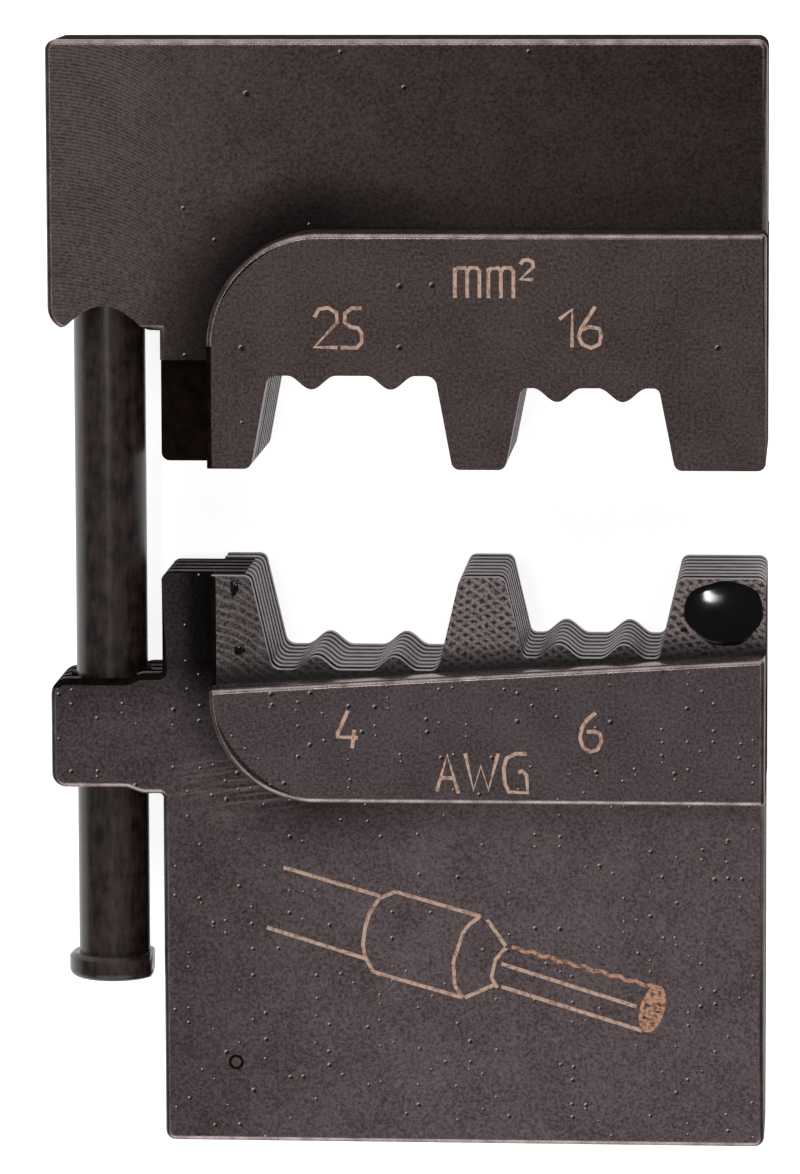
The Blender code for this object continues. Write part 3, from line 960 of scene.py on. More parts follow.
def boolean(target: bpy.types.Object, cutter: bpy.types.Object, operation: str) -> None:
    """Add an exact Boolean to the target.

    Args:
        target: The object that is changed.
        cutter: The other object.
        operation: The Boolean's kind.
    """
    modifier = target.modifiers.new(cutter.name, "BOOLEAN")
    modifier.operation = operation
    modifier.solver = "EXACT"
    modifier.object = cutter


def settled(
    target: bpy.types.Object, name: str, used: Iterable[bpy.types.Object],
) -> bpy.types.Object:
    """Apply the target's modifiers as a new mesh object and clear away what made it.

    Args:
        target: The object with modifiers.
        name: The new object's name.
        used: The cutters.

    Returns:
        The new object.
    """
    solid = meshed(target, name)
    for spent in (target, *used):
        bpy.data.objects.remove(spent, do_unlink=True)
    return solid


def turned(
    name: str, profile: Sequence[Point], axis: Point, sides: int = 96,
) -> bpy.types.Object:
    """Turn a profile about an axis along Y.

    Args:
        name: The object's name.
        profile: The radius and the place along Y of each point, from the top down.
        axis: The axis's X and Z.
        sides: How many sides the round has.

    Returns:
        The turned object, with its screw modifier.
    """
    mesh = bpy.data.meshes.new(name)
    shape = bmesh.new()
    verts = [shape.verts.new((radius, 0, height)) for radius, height in profile]
    for first, second in zip(verts, verts[1:]):
        shape.edges.new((first, second))
    shape.to_mesh(mesh)
    shape.free()
    obj = link(bpy.data.objects.new(name, mesh))
    obj.rotation_euler.x = math.radians(-90)
    obj.location = (axis[0], 0, axis[1])
    screw = obj.modifiers.new("turned", "SCREW")
    screw.axis = "Z"
    screw.steps = sides
    screw.render_steps = sides
    screw.use_merge_vertices = True
    screw.merge_threshold = WELD_DISTANCE
    return obj


def turns(steps: int) -> list[float]:
    """Return the angles of a full turn in this many steps, with both ends."""
    return [math.tau * step / steps for step in range(steps + 1)]


def baked_place(obj: bpy.types.Object) -> bpy.types.Object:
    """Move an object's placing into its mesh, so that the object sits at the origin.

    Args:
        obj: The object, which is changed.

    Returns:
        The same object.
    """
    bpy.context.view_layer.update()
    obj.data.transform(obj.matrix_world)
    obj.matrix_world.identity()
    return obj


def smooth(obj: bpy.types.Object) -> None:
    """Shade the round stretches of a mesh object smooth."""
    obj.data.shade_smooth()
    obj.data.set_sharp_from_angle(angle=SHARP_ANGLE)


# The die set


class Surface(IntEnum):
    """The kinds of surface on a die half, in the order of its material slots."""

    FACE = 0
    EDGE = 1
    SIDE = 2
    CUT = 3
    TOOTH = 4
    RECESS = 5


@dataclass(frozen=True)
class Nest:
    """One nest of a half: two flared walls and a root with two bumps.

    Args:
        centre: The nest's middle across the set.
        root_width: Its width at the root.
        flare: How far each wall leans out up to the tips.
        depth: From the tips to the root.
        spacing: Between the crests of the two bumps.
        bump_height: How high a bump stands over the root.
        bump_width: How wide a bump is at its foot.
        tip_radius: The radius that rounds the tooth on either side.
        root_radius: The radius in the root's corners.
        arc_steps: How many stretches each arc has.
        bump_steps: How many stretches each bump has.
    """

    centre: float
    root_width: float
    flare: float
    depth: float
    spacing: float
    bump_height: float = 0.65 * MM
    bump_width: float = 2.3 * MM
    tip_radius: float = 0.4 * MM
    root_radius: float = 0.5 * MM
    arc_steps: int = 7
    bump_steps: int = 24

    def corners(self, tips: float, towards: int) -> list[Corner]:
        """Return the nest's corners, left to right.

        Args:
            tips: Where the teeth end.
            towards: The sign of the direction out of the half.

        Returns:
            The corners of the nest's outline.
        """
        root = tips - towards * self.depth
        half = self.root_width / 2
        mouth = half + self.flare
        made: list[Corner] = [
            (self.centre - mouth, tips, self.tip_radius, self.arc_steps),
            (self.centre - half, root, self.root_radius, self.arc_steps),
        ]
        for crest in (-self.spacing / 2, self.spacing / 2):
            for step in range(self.bump_steps + 1):
                share = 2 * step / self.bump_steps - 1
                lift = self.bump_height * (1 + math.cos(math.pi * share)) / 2
                across = self.centre + crest + share * self.bump_width / 2
                made.append((across, root + towards * lift, 0, 0))
        made.append((self.centre + half, root, self.root_radius, self.arc_steps))
        made.append((self.centre + mouth, tips, self.tip_radius, self.arc_steps))
        return made


@dataclass
class DieHalf:
    """What both halves share: the places across the set, the comb and the edges."""

    left: float = -SET_WIDTH / 2
    body_left: float = -11.8 * MM
    boss_left: float = BOSS_LEFT
    right: float = SET_WIDTH / 2
    boss_radius: float = BOSS_RADIUS
    join_overlap: float = 0.75 * MM
    corner_radius: float = 0.5 * MM
    tip_radius: float = 0.4 * MM
    edge_round: float = 0.25 * MM
    edge_segments: int = 4
    arc_steps: int = 7
    big_arc_steps: int = 48
    block_back: float = 2.5 * MM
    block_front: float = BLOCK_FRONT
    thickness: float = THICKNESS
    pitch: float = 1.2 * MM
    fin: float = 0.56 * MM
    clearance: float = 0.05 * MM
    fins: int = 8
    overcut: float = OVERCUT
    pin_axis: Point = PIN_AXIS
    tips: float = 0.0
    slot_end: float = 0.0
    boss_end: float = 0.0
    towards: int = 1
    name: str = ""
    nests: tuple[Nest, ...] = ()
    piece: bpy.types.Object | None = None

    @property
    def comb_front(self) -> float:
        """The front of the foremost fin of the lower half."""
        return (self.fins - 1) * self.pitch + self.fin

    @property
    def column_front(self) -> float:
        """The front of the upper half's column, which a slot lays bare."""
        return (self.fins - 2) * self.pitch - self.clearance

    @property
    def rim_front(self) -> float:
        """The height of the teeth's front rims."""
        return self.thickness

    def boss_corners(self) -> list[Corner]:
        """Return the corners of the boss and teeth, from the left tooth's tip to the right.

        Returns:
            The place across and along, the radius and the arc's steps of each corner.
        """
        corners: list[Corner] = [(self.boss_left, self.tips, 0, 0)]
        for nest in self.nests:
            corners += nest.corners(self.tips, self.towards)
        return corners + [
            (self.right, self.tips, self.tip_radius, self.arc_steps),
            (self.right, self.boss_end, 0, 0),
            (self.boss_left, self.boss_end, self.boss_radius, self.big_arc_steps),
        ]

    def blank(
        self, block_corners: Sequence[Corner], *cutters: bpy.types.Object,
    ) -> bpy.types.Object:
        """Join the block and the boss, and round their edges.

        Args:
            block_corners: The outline of the block.
            *cutters: What is milled away first.

        Returns:
            The blank, before the comb is sawn.
        """
        block = slab(self.name + "_block", block_corners, self.block_back, self.block_front)
        boss = slab(self.name + "_boss", self.boss_corners(), 0, self.thickness)
        boolean(boss, block, "UNION")
        for cutter in cutters:
            boolean(boss, cutter, "DIFFERENCE")
        blank = settled(boss, self.name + "_blank", [block, *cutters])
        self.round_edges(blank)
        return blank

    def drill_and_saw(
        self, piece: str, blank: bpy.types.Object, *cutters: bpy.types.Object,
    ) -> None:
        """Drill the blank and saw its comb.

        Args:
            piece: The name of the piece that it becomes.
            blank: The blank.
            *cutters: The hole and the slots.
        """
        for cutter in cutters:
            boolean(blank, cutter, "DIFFERENCE")
        self.piece = baked_place(settled(blank, piece, cutters))

    def slots(
        self, spans: Sequence[tuple[float, float]], low: float, high: float,
    ) -> bpy.types.Object:
        """Return one cutter of flat boxes.

        Args:
            spans: The back and the front of each slot.
            low: The lower end of the slots.
            high: Their upper end.

        Returns:
            The cutter.
        """
        shape = bmesh.new()
        width = self.right - self.left + 2 * self.overcut
        for back, front in spans:
            made = bmesh.ops.create_cube(shape, size=1.0)
            bmesh.ops.scale(shape, vec=(width, high - low, front - back), verts=made["verts"])
            middle = Vector((0, (low + high) / 2, (back + front) / 2))
            bmesh.ops.translate(shape, vec=middle, verts=made["verts"])
        mesh = bpy.data.meshes.new(self.name + "_slots")
        shape.to_mesh(mesh)
        shape.free()
        return link(bpy.data.objects.new(self.name + "_slots", mesh))

    def round_edges(self, obj: bpy.types.Object) -> None:
        """Round the outward edges of the blank.

        Args:
            obj: The blank, before the comb is sawn. It gets a bevel modifier.
        """
        shape = bmesh.new()
        shape.from_mesh(obj.data)
        weights = shape.edges.layers.float.new("bevel_weight_edge")
        for edge in shape.edges:
            middle = (edge.verts[0].co + edge.verts[1].co) / 2
            outward = edge.calc_face_angle_signed() > SHARP_ANGLE
            if outward and not self.stays_sharp(obj.matrix_world @ middle):
                edge[weights] = 1.0
        shape.to_mesh(obj.data)
        shape.free()
        smooth(obj)
        modifier = obj.modifiers.new("edge_round", "BEVEL")
        modifier.limit_method = "WEIGHT"
        modifier.width = self.edge_round
        modifier.segments = self.edge_segments
        modifier.use_clamp_overlap = False
        modifier.harden_normals = True

    def stays_sharp(self, middle: Vector) -> bool:
        """Tell whether an edge stays as it was cut, as on the teeth and in the nests.

        Args:
            middle: The edge's middle.

        Returns:
            True if it isn't rounded.
        """
        on_rim = min(abs(middle.z), abs(middle.z - self.rim_front)) < self.clearance
        in_comb = middle.x > self.boss_left + self.tip_radius
        in_comb = in_comb and self.towards * (middle.y - self.slot_end) > 0
        on_end = abs(middle.y - self.tips) < self.tip_radius
        on_end = on_end and middle.x < self.boss_left + self.tip_radius
        return (on_rim and in_comb) or on_end

    def surface(self, middle: Vector, normal: Vector) -> Surface:
        """Return the kind of surface that a face belongs to.

        Args:
            middle: The face's middle.
            normal: The way it looks.

        Returns:
            The kind of surface.
        """
        in_comb = self.towards * (middle.y - self.slot_end) > -self.edge_round
        if abs(middle.x - self.right) < self.clearance and abs(normal.x) > SQUARE:
            return Surface.SIDE
        if abs(normal.z) > SQUARE:
            if abs(middle.z - self.comb_front) < self.clearance / 2:
                return Surface.TOOTH
            milled = (0, self.block_back, self.block_front, self.thickness)
            if min(abs(middle.z - level) for level in milled) < self.clearance / 2:
                return Surface.FACE
            # The column's front gets the near-black finish, dark oxide deepened as painted shade.
            on_column = abs(middle.z - self.column_front) < self.clearance / 2
            return Surface.RECESS if on_column else Surface.CUT
        if in_comb and middle.z < self.rim_front:
            # So do the walls beside the boss, in painted shade.
            in_teeth = middle.x > self.boss_left + self.edge_round
            return Surface.CUT if in_teeth else Surface.RECESS
        return Surface.EDGE if in_comb or abs(normal.z) > TILTED else Surface.SIDE

    def dress(self, finishes: Sequence[bpy.types.Material]) -> None:
        """Give each surface its finish.

        Args:
            finishes: The materials, in the order of Surface.
        """
        smooth(self.piece)
        for finish in finishes:
            self.piece.data.materials.append(finish)
        for face in self.piece.data.polygons:
            face.material_index = self.surface(face.center, face.normal)
            face.use_smooth = max(abs(part) for part in face.normal) < QUITE_FLAT

    def finish_piece(self, body: str) -> None:
        """Ride the piece on its body and stand it for its node.

        Args:
            body: The CAD body that it rides on.
        """
        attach(self.piece, body)
        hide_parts(self.name)
        log.info("%s: %d faces", self.piece.name, len(self.piece.data.polygons))


@dataclass
class UpperDie(DieHalf):
    """The upper half: block, lug, boss, teeth, pin hole and comb slots."""

    name: str = "upper_die"
    seat: float = 26.675 * MM
    tips: float = 6.475 * MM
    boss_end: float = UPPER_BOSS_END
    slot_end: float = 11.375 * MM
    towards: int = -1
    lug_bottom: float = 12.775 * MM
    lug_corner: float = 1.1 * MM
    pin_radius: float = PIN_RADIUS
    pin_fit: float = 0.05 * MM
    bore_end: float = 22.075 * MM
    sink_radius: float = 3.3 * MM
    sink_slope: float = math.tan(math.radians(30.0))
    sink_scar: float = 0.05 * MM
    nests: tuple[Nest, Nest] = (
        Nest(-2.4 * MM, 7.95 * MM, 0.825 * MM, 4.45 * MM, 3.76 * MM),
        Nest(8.9 * MM, 6.5 * MM, 0.775 * MM, 3.9 * MM, 3.1 * MM),
    )

    def block_corners(self) -> list[Corner]:
        """Return the corners of the block, with its lug and its column.

        Returns:
            The place across and along, the radius and the arc's steps of each corner.
        """
        inside = self.boss_left + self.join_overlap
        join = (self.boss_end + self.slot_end) / 2
        return [
            (self.body_left, self.tips, self.tip_radius, self.arc_steps),
            (inside, self.tips, 0, 0),
            (inside, join, 0, 0),
            (self.right, join, 0, 0),
            (self.right, self.seat, self.corner_radius, self.arc_steps),
            (self.left, self.seat, self.corner_radius, self.arc_steps),
            (self.left, self.lug_bottom, self.lug_corner, self.arc_steps),
            (self.body_left, self.lug_bottom, 0, 0),
        ]

    def bore(self) -> bpy.types.Object:
        """Return the cutter of the pin's blind hole and its countersink.

        Returns:
            The cutter, cut off just past the block's left side.
        """
        radius = self.pin_radius + self.pin_fit
        profile = [
            (0, self.bore_end),
            (radius, self.bore_end),
            (radius, self.lug_bottom + (self.sink_radius - radius) / self.sink_slope),
            (self.sink_radius + self.edge_round * self.sink_slope,
             self.lug_bottom - self.edge_round),
            (0, self.lug_bottom - self.edge_round),
        ]
        cone = turned("sink", profile, self.pin_axis)
        bore = meshed(cone, "lug_bore")
        bpy.data.objects.remove(cone, do_unlink=True)
        shape = bmesh.new()
        shape.from_mesh(bore.data)
        scar = self.body_left + self.sink_scar - self.pin_axis[0]
        bmesh.ops.bisect_plane(
            shape, geom=shape.verts[:] + shape.edges[:] + shape.faces[:],
            plane_co=(scar, 0, 0), plane_no=(1, 0, 0), clear_outer=True,
        )
        bmesh.ops.edgeloop_fill(shape, edges=[e for e in shape.edges if e.is_boundary])
        bmesh.ops.recalc_face_normals(shape, faces=shape.faces)
        shape.to_mesh(bore.data)
        shape.free()
        return bore

    def build(self) -> None:
        """Model the half."""
        blank = self.blank(self.block_corners())
        spans = []
        for index in range(self.fins):
            back = index * self.pitch - self.clearance
            front = index * self.pitch + self.fin + self.clearance
            spans.append((back - self.overcut if index == 0 else back, front))
        comb = self.slots(spans, self.tips - self.overcut, self.slot_end)
        self.drill_and_saw("upper_half", blank, self.bore(), comb)


@dataclass
class LowerDie(DieHalf):
    """The lower half: block, ear, boss, teeth faced back to a shelf, ear hole and slots."""

    name: str = "lower_die"
    base: float = -26.675 * MM
    tips: float = 1.125 * MM
    boss_end: float = LOWER_BOSS_END
    slot_end: float = -4.275 * MM
    ear_top: float = -4.125 * MM
    ear_bottom: float = -9.375 * MM
    ear_corner: float = 0.7 * MM
    ear_fillet: float = 0.2 * MM
    shoulder_width: float = 1.05 * MM
    shoulder_ramp: float = 0.7 * MM
    shoulder_rise: float = 0.28 * MM
    shoulder_radius: float = 1.0 * MM
    hole_radius: float = 1.975 * MM
    shelf_land: float = 0.08 * MM
    nests: tuple[Nest, Nest] = (
        Nest(-2.4 * MM, 7.95 * MM, 1.05 * MM, 4.5 * MM, 3.76 * MM),
        Nest(8.9 * MM, 6.5 * MM, 0.9 * MM, 3.85 * MM, 3.1 * MM),
    )

    @property
    def rim_front(self) -> float:
        """The height of the teeth's front rims, which are milled back to the foremost fin."""
        return self.comb_front

    def block_corners(self) -> list[Corner]:
        """Return the corners of the block, with its ear and its column.

        Returns:
            The place across and along, the radius and the arc's steps of each corner.
        """
        inside = self.boss_left + self.join_overlap
        join = (self.boss_end + self.slot_end) / 2
        shoulder = self.body_left - self.shoulder_width
        ramp = shoulder - self.shoulder_ramp
        low = self.ear_bottom - self.shoulder_rise
        high = self.ear_top + self.shoulder_rise
        steps = self.arc_steps
        return [
            (self.body_left, self.tips, self.tip_radius, steps),
            (inside, self.tips, 0, 0),
            (inside, join, 0, 0),
            (self.right, join, 0, 0),
            (self.right, self.base, self.corner_radius, steps),
            (self.body_left, self.base, self.corner_radius, steps),
            (self.body_left, low, self.ear_fillet, steps),
            (shoulder, low, self.shoulder_radius, steps),
            (ramp, self.ear_bottom, self.shoulder_radius, steps),
            (self.left, self.ear_bottom, self.ear_corner, steps),
            (self.left, self.ear_top, self.ear_corner, steps),
            (ramp, self.ear_top, self.shoulder_radius, steps),
            (shoulder, high, self.shoulder_radius, steps),
            (self.body_left, high, self.ear_fillet, steps),
        ]

    def shelf_height(self, across: float) -> float:
        """Return the height of the shelf, which passes just under both nests' roots.

        Args:
            across: The place across the set.

        Returns:
            The place along it.
        """
        wide, narrow = self.nests
        wide_x = wide.centre + wide.root_width / 2
        rise = (wide.depth - narrow.depth) / (narrow.centre + narrow.root_width / 2 - wide_x)
        return self.tips - wide.depth - self.shelf_land + (across - wide_x) * rise

    def build(self) -> None:
        """Model the half."""
        start, end = self.boss_left - self.overcut, self.right + self.overcut
        top = self.tips + self.overcut
        shelf = slab(
            "shelf", [
                (start, self.shelf_height(start), 0, 0), (end, self.shelf_height(end), 0, 0),
                (end, top, 0, 0), (start, top, 0, 0),
            ], self.comb_front, self.thickness + self.overcut,
        )
        blank = self.blank(self.block_corners(), shelf)
        high, low = self.ear_top + self.overcut, self.ear_bottom - self.overcut
        hole = turned(
            "ear_hole",
            [(0, high), (self.hole_radius, high), (self.hole_radius, low), (0, low)],
            self.pin_axis,
        )
        spans = [
            (index * self.pitch + self.fin, (index + 1) * self.pitch)
            for index in range(self.fins - 1)
        ]
        comb = self.slots(spans, self.slot_end, self.tips + self.overcut)
        self.drill_and_saw("lower_half", blank, hole, comb)


@dataclass
class GuidePin:
    """The turned guide pin, pressed into the lug, with a head ground flat on one side."""

    axis: Point = PIN_AXIS
    radius: float = PIN_RADIUS
    top: float = 21.775 * MM
    bottom: float = -19.025 * MM
    chamfer: float = 0.3 * MM
    head_radius: float = 2.2 * MM
    head_height: float = 1.2 * MM
    head_round: float = 0.4 * MM
    flat_proud: float = 0.1 * MM
    arc_steps: int = 10
    sides: int = 128
    overcut: float = OVERCUT
    piece: bpy.types.Object | None = None

    def profile(self) -> list[Point]:
        """Return the turned outline, from the gripped end down to the head.

        Returns:
            The radius and the place along Y of each point.
        """
        head_top = self.bottom + self.head_height
        points = [
            (0, self.top),
            (self.radius - self.chamfer, self.top),
            (self.radius, self.top - self.chamfer),
            (self.radius, head_top),
            (self.head_radius - self.head_round / 2, head_top),
            (self.head_radius, head_top - self.head_round / 2),
        ]
        for step in range(self.arc_steps + 1):
            angle = math.radians(90) * step / self.arc_steps
            points.append((
                self.head_radius - self.head_round * (1 - math.cos(angle)),
                self.bottom + self.head_round * (1 - math.sin(angle)),
            ))
        return points + [(0, self.bottom)]

    def build(self) -> None:
        """Model the pin."""
        blank = turned("pin_blank", self.profile(), self.axis, self.sides)
        flat_at = self.axis[0] + self.radius + self.flat_proud
        low, high = self.bottom - self.overcut, self.bottom + self.head_height + self.overcut
        right = flat_at + 2 * self.head_radius
        flat = slab(
            "head_flat",
            [(flat_at, low, 0, 0), (right, low, 0, 0), (right, high, 0, 0), (flat_at, high, 0, 0)],
            self.axis[1] - 2 * self.head_radius, self.axis[1] + 2 * self.head_radius,
        )
        solid = meshed(blank, "pin_solid")
        bpy.data.objects.remove(blank, do_unlink=True)
        boolean(solid, flat, "DIFFERENCE")
        self.piece = settled(solid, "pin", [flat])

    def dress(self, finish: bpy.types.Material) -> None:
        """Give the pin its finish and hang it on the upper half.

        Args:
            finish: The pin's material.
        """
        baked_place(self.piece)
        smooth(self.piece)
        self.piece.data.materials.append(finish)
        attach(self.piece, "upper")
        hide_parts("guide_pin")
        log.info("%s: %d faces", self.piece.name, len(self.piece.data.polygons))


# Marks


class Glyph(Enum):
    """Single-stroke characters in a box one unit wide and high, each as a list of strokes."""

    ONE = (((0, 0.74), (1, 1), (1, 0)),)
    TWO = (((0, 0.76), (0.2, 0.96), (0.58, 1), (0.95, 0.88), (1, 0.64), (0, 0.01), (1, 0)),)
    FOUR = (((0.52, 1), (0, 0.37), (0, 0.3), (1, 0.28)), ((0.82, 0.49), (0.72, 0)))
    FIVE = (((1, 1), (0.55, 1), (0.22, 0.87), (0.2, 0.645), (0.5, 0.52), (0.82, 0.5), (1, 0.375),
             (1, 0.13), (0.77, 0), (0, 0)),)
    SIX = (((0.73, 1), (0.11, 0.47), (0, 0.28), (0.15, 0.09), (0.55, 0), (0.91, 0.09), (1, 0.3),
            (0.91, 0.47), (0.46, 0.51), (0.15, 0.45)),)
    ROUND_SIX = (((0.74, 1), (0.32, 0.81), (0.08, 0.6), (0, 0.35), (0.14, 0.11), (0.49, 0),
                  (0.83, 0.06), (1, 0.26), (0.94, 0.46), (0.71, 0.52), (0.32, 0.51)),)
    LETTER_A = (((0, 0.05), (0.49, 1), (1, 0)), ((0.18, 0.4), (0.81, 0.4)))
    LETTER_G = (((1, 1), (0.52, 1), (0.12, 0.88), (0, 0.63), (0.05, 0.23), (0.22, 0.02),
                 (1.05, 0), (1, 0.45), (0.8, 0.57), (0.64, 0.51)),)
    LETTER_M = (((0, 0), (0, 1)), ((0, 0.85), (0.1, 0.98), (0.4, 1), (0.5, 0.88), (0.5, 0)),
                ((0.5, 0.88), (0.62, 1), (0.88, 1), (1, 0.88), (1, 0)))
    LETTER_W = (((0, 1), (0.255, 0), (0.48, 0.66), (0.71, 0), (1, 1)),)


@dataclass(frozen=True)
class Mark:
    """One character on a face.

    Args:
        glyph: Its strokes.
        left: Its left side, in millimetres.
        low: Its foot, in millimetres.
        width: How wide it is, in millimetres.
        height: How high it is, in millimetres.
    """

    glyph: Glyph
    left: float
    low: float
    width: float
    height: float

    def strokes(self) -> list[list[Point]]:
        """Return the strokes at their place on the face.

        Returns:
            The points of each stroke, in metres.
        """
        return [
            [((self.left + x * self.width) * MM, (self.low + y * self.height) * MM)
             for x, y in stroke]
            for stroke in self.glyph.value
        ]


def etched(
    name: str, strokes: Sequence[Sequence[Point]], level: float, finish: bpy.types.Material,
    body: str, width: float = 0.19 * MM, proud: float = 0.012 * MM, steps: int = 3,
) -> bpy.types.Object:
    """Draw strokes on a face as shallow beads of burnt metal.

    Args:
        name: The piece's name.
        strokes: The points of each stroke.
        level: The height of the face.
        finish: The material.
        body: The body that it rides on.
        width: The width of a stroke.
        proud: How far the burnt line stands up.
        steps: How finely its bead is rounded.

    Returns:
        The piece.
    """
    curve = bpy.data.curves.new(name, "CURVE")
    curve.dimensions = "3D"
    curve.bevel_depth = width / 2
    curve.bevel_resolution = steps
    curve.use_fill_caps = True
    for stroke in strokes:
        spline = curve.splines.new("POLY")
        spline.points.add(len(stroke) - 1)
        for spot, (across, along) in zip(spline.points, stroke):
            spot.co = (across, along, 0, 1)
    source = link(bpy.data.objects.new(name + "_strokes", curve))
    bpy.context.view_layer.update()
    depsgraph = bpy.context.evaluated_depsgraph_get()
    mesh = bpy.data.meshes.new_from_object(source.evaluated_get(depsgraph), depsgraph=depsgraph)
    bpy.data.objects.remove(source, do_unlink=True)
    for vert in mesh.vertices:
        vert.co.z = level + vert.co.z * 2 * proud / width
    mesh.name = name
    mesh.shade_smooth()
    mesh.materials.append(finish)
    piece = link(bpy.data.objects.new(name, mesh))
    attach(piece, body)
    log.info("%s: %d strokes", name, len(strokes))
    return piece


@dataclass
class FaceMarks:
    """The sizes etched on both bosses and the ferrule drawn on the lower block."""

    boss_level: float = THICKNESS
    block_level: float = BLOCK_FRONT
    strand: tuple[Point, Point] = ((5.02, -16.97), (12.0, -18.88))
    end_centre: Point = (11.8, -19.92)
    end_halves: Point = (1.1, 0.5)
    end_tilt: float = math.radians(74.7)
    end_steps: int = 28
    end_strands: int = 11
    end_reach: float = 0.85
    end_waver: Point = (0.12, 2.3)
    fray: Point = (0.07, 1.9)
    fray_steps: int = 28
    dimple: Point = (-8.335, -22.76)
    dimple_radius: float = 0.30
    dimple_line: float = 0.13 * MM
    dimple_steps: int = 32

    def upper(self) -> list[Mark]:
        """Return the square-millimetre sizes on the upper boss.

        Returns:
            The characters, with their places.
        """
        return [
            Mark(Glyph.TWO, -4.13, 12.27, 1.10, 1.89), Mark(Glyph.FIVE, -2.89, 12.27, 1.0, 1.87),
            Mark(Glyph.ONE, 7.45, 12.32, 0.61, 1.79), Mark(Glyph.SIX, 8.37, 12.29, 1.06, 1.96),
            Mark(Glyph.LETTER_M, 2.53, 14.64, 1.16, 1.43),
            Mark(Glyph.LETTER_M, 4.11, 14.64, 1.18, 1.43), Mark(Glyph.TWO, 5.62, 15.52, 0.61, 0.94),
        ]

    def lower(self) -> list[Mark]:
        """Return the wire-gauge sizes on the lower boss.

        Returns:
            The characters, with their places.
        """
        return [
            Mark(Glyph.FOUR, -3.12, -6.89, 0.97, 1.82),
            Mark(Glyph.ROUND_SIX, 8.43, -6.97, 1.01, 1.88),
            Mark(Glyph.LETTER_A, 1.60, -9.02, 1.04, 1.84),
            Mark(Glyph.LETTER_W, 2.96, -8.85, 1.57, 1.76),
            Mark(Glyph.LETTER_G, 4.80, -8.97, 1.09, 1.88),
        ]

    def ferrule(self) -> list[list[Point]]:
        """Return the strokes of the ferrule and its wire.

        Returns:
            The points of each stroke, in metres.
        """
        lines = [
            [(-5.99, -13.17), (-1.27, -14.55)],
            [(-6.82, -16.12), (-2.06, -17.60)],
            [(-0.58, -14.31), (-1.37, -14.65), (-1.86, -15.43), (-2.06, -16.12),
             (-2.16, -16.91), (-2.06, -17.50), (-1.67, -18.25)],
            [(-0.58, -14.31), (3.55, -15.49)],
            [(-1.67, -18.25), (2.66, -19.47)],
            [(3.45, -15.53), (2.96, -15.89), (2.66, -16.32), (2.21, -17.70), (2.27, -18.88),
             (2.66, -19.47)],
            [(3.84, -15.63), (4.73, -16.91)],
            [(2.76, -19.47), (4.14, -18.84)],
            [(4.73, -17.01), (4.23, -17.60), (4.04, -18.48), (4.33, -18.97)],
            [(4.53, -17.79), (11.02, -19.82)],
            [(4.53, -18.91), (11.31, -21.00)],
        ]
        return [[(x * MM, y * MM) for x, y in line] for line in lines]

    def build(self, etch: bpy.types.Material, recess_shade: bpy.types.Material) -> None:
        """Draw the marks on their faces.

        Args:
            etch: The finish of an etched line.
            recess_shade: The near-black finish of the dimple's ring, painted shade in its dent.
        """
        for name, marks, body in (
            ("size_marks_upper", self.upper(), "upper"), ("size_marks_lower", self.lower(), "lower"),
        ):
            strokes = [stroke for mark in marks for stroke in mark.strokes()]
            etched(name, strokes, self.boss_level, etch, body)
        etched("ferrule_drawing", self.ferrule(), self.block_level, etch, "lower")
        strands = [self.frayed_strand(), *self.wire_end()]
        scorched = EtchedLine("laser_scorched_line", "B98A70", "6E4430").make()
        etched("wire_drawing", strands, self.block_level, scorched, "lower")
        # The dimple is a ring of the near-black finish, painted shade in its dent.
        ring = [
            ((self.dimple[0] + self.dimple_radius * math.cos(turn)) * MM,
             (self.dimple[1] + self.dimple_radius * math.sin(turn)) * MM)
            for turn in turns(self.dimple_steps)
        ]
        etched(
            "hardness_dimple", [ring], self.block_level, recess_shade, "lower", self.dimple_line,
        )

    def frayed_strand(self) -> list[Point]:
        """Return the wavering upper line of the wire.

        Returns:
            The line's points, in metres.
        """
        (left, high), (right, low) = self.strand
        reach, beat = self.fray
        return [
            ((left + (right - left) * step / self.fray_steps) * MM,
             (high + (low - high) * step / self.fray_steps + reach * math.sin(beat * step)) * MM)
            for step in range(self.fray_steps + 1)
        ]

    def wire_end(self) -> list[list[Point]]:
        """Return the outline of the wire's cut end and the strands scribbled into it.

        Returns:
            The points of each stroke, in metres.
        """
        (across, along), (long_half, short_half) = self.end_centre, self.end_halves
        cos, sin = math.cos(self.end_tilt), math.sin(self.end_tilt)

        def placed(up: float, aside: float) -> Point:
            """Return the place at these shares of the end's two half axes.

            Args:
                up: The share of the long half axis.
                aside: The share of the short one.

            Returns:
                The place on the face, in metres.
            """
            up, aside = up * long_half, aside * short_half
            return ((across + up * cos - aside * sin) * MM, (along + up * sin + aside * cos) * MM)

        rim = [placed(math.cos(turn), math.sin(turn)) for turn in turns(self.end_steps)]
        scribble = []
        reach, beat = self.end_waver
        for step in range(self.end_strands):
            up = 2 * (step + 0.5) / self.end_strands - 1
            aside = self.end_reach * math.sqrt(1 - up * up)
            tilt = reach * math.sin(beat * step)
            scribble.append([placed(up - tilt, -aside), placed(up + tilt, aside)])
        return [rim, *scribble]


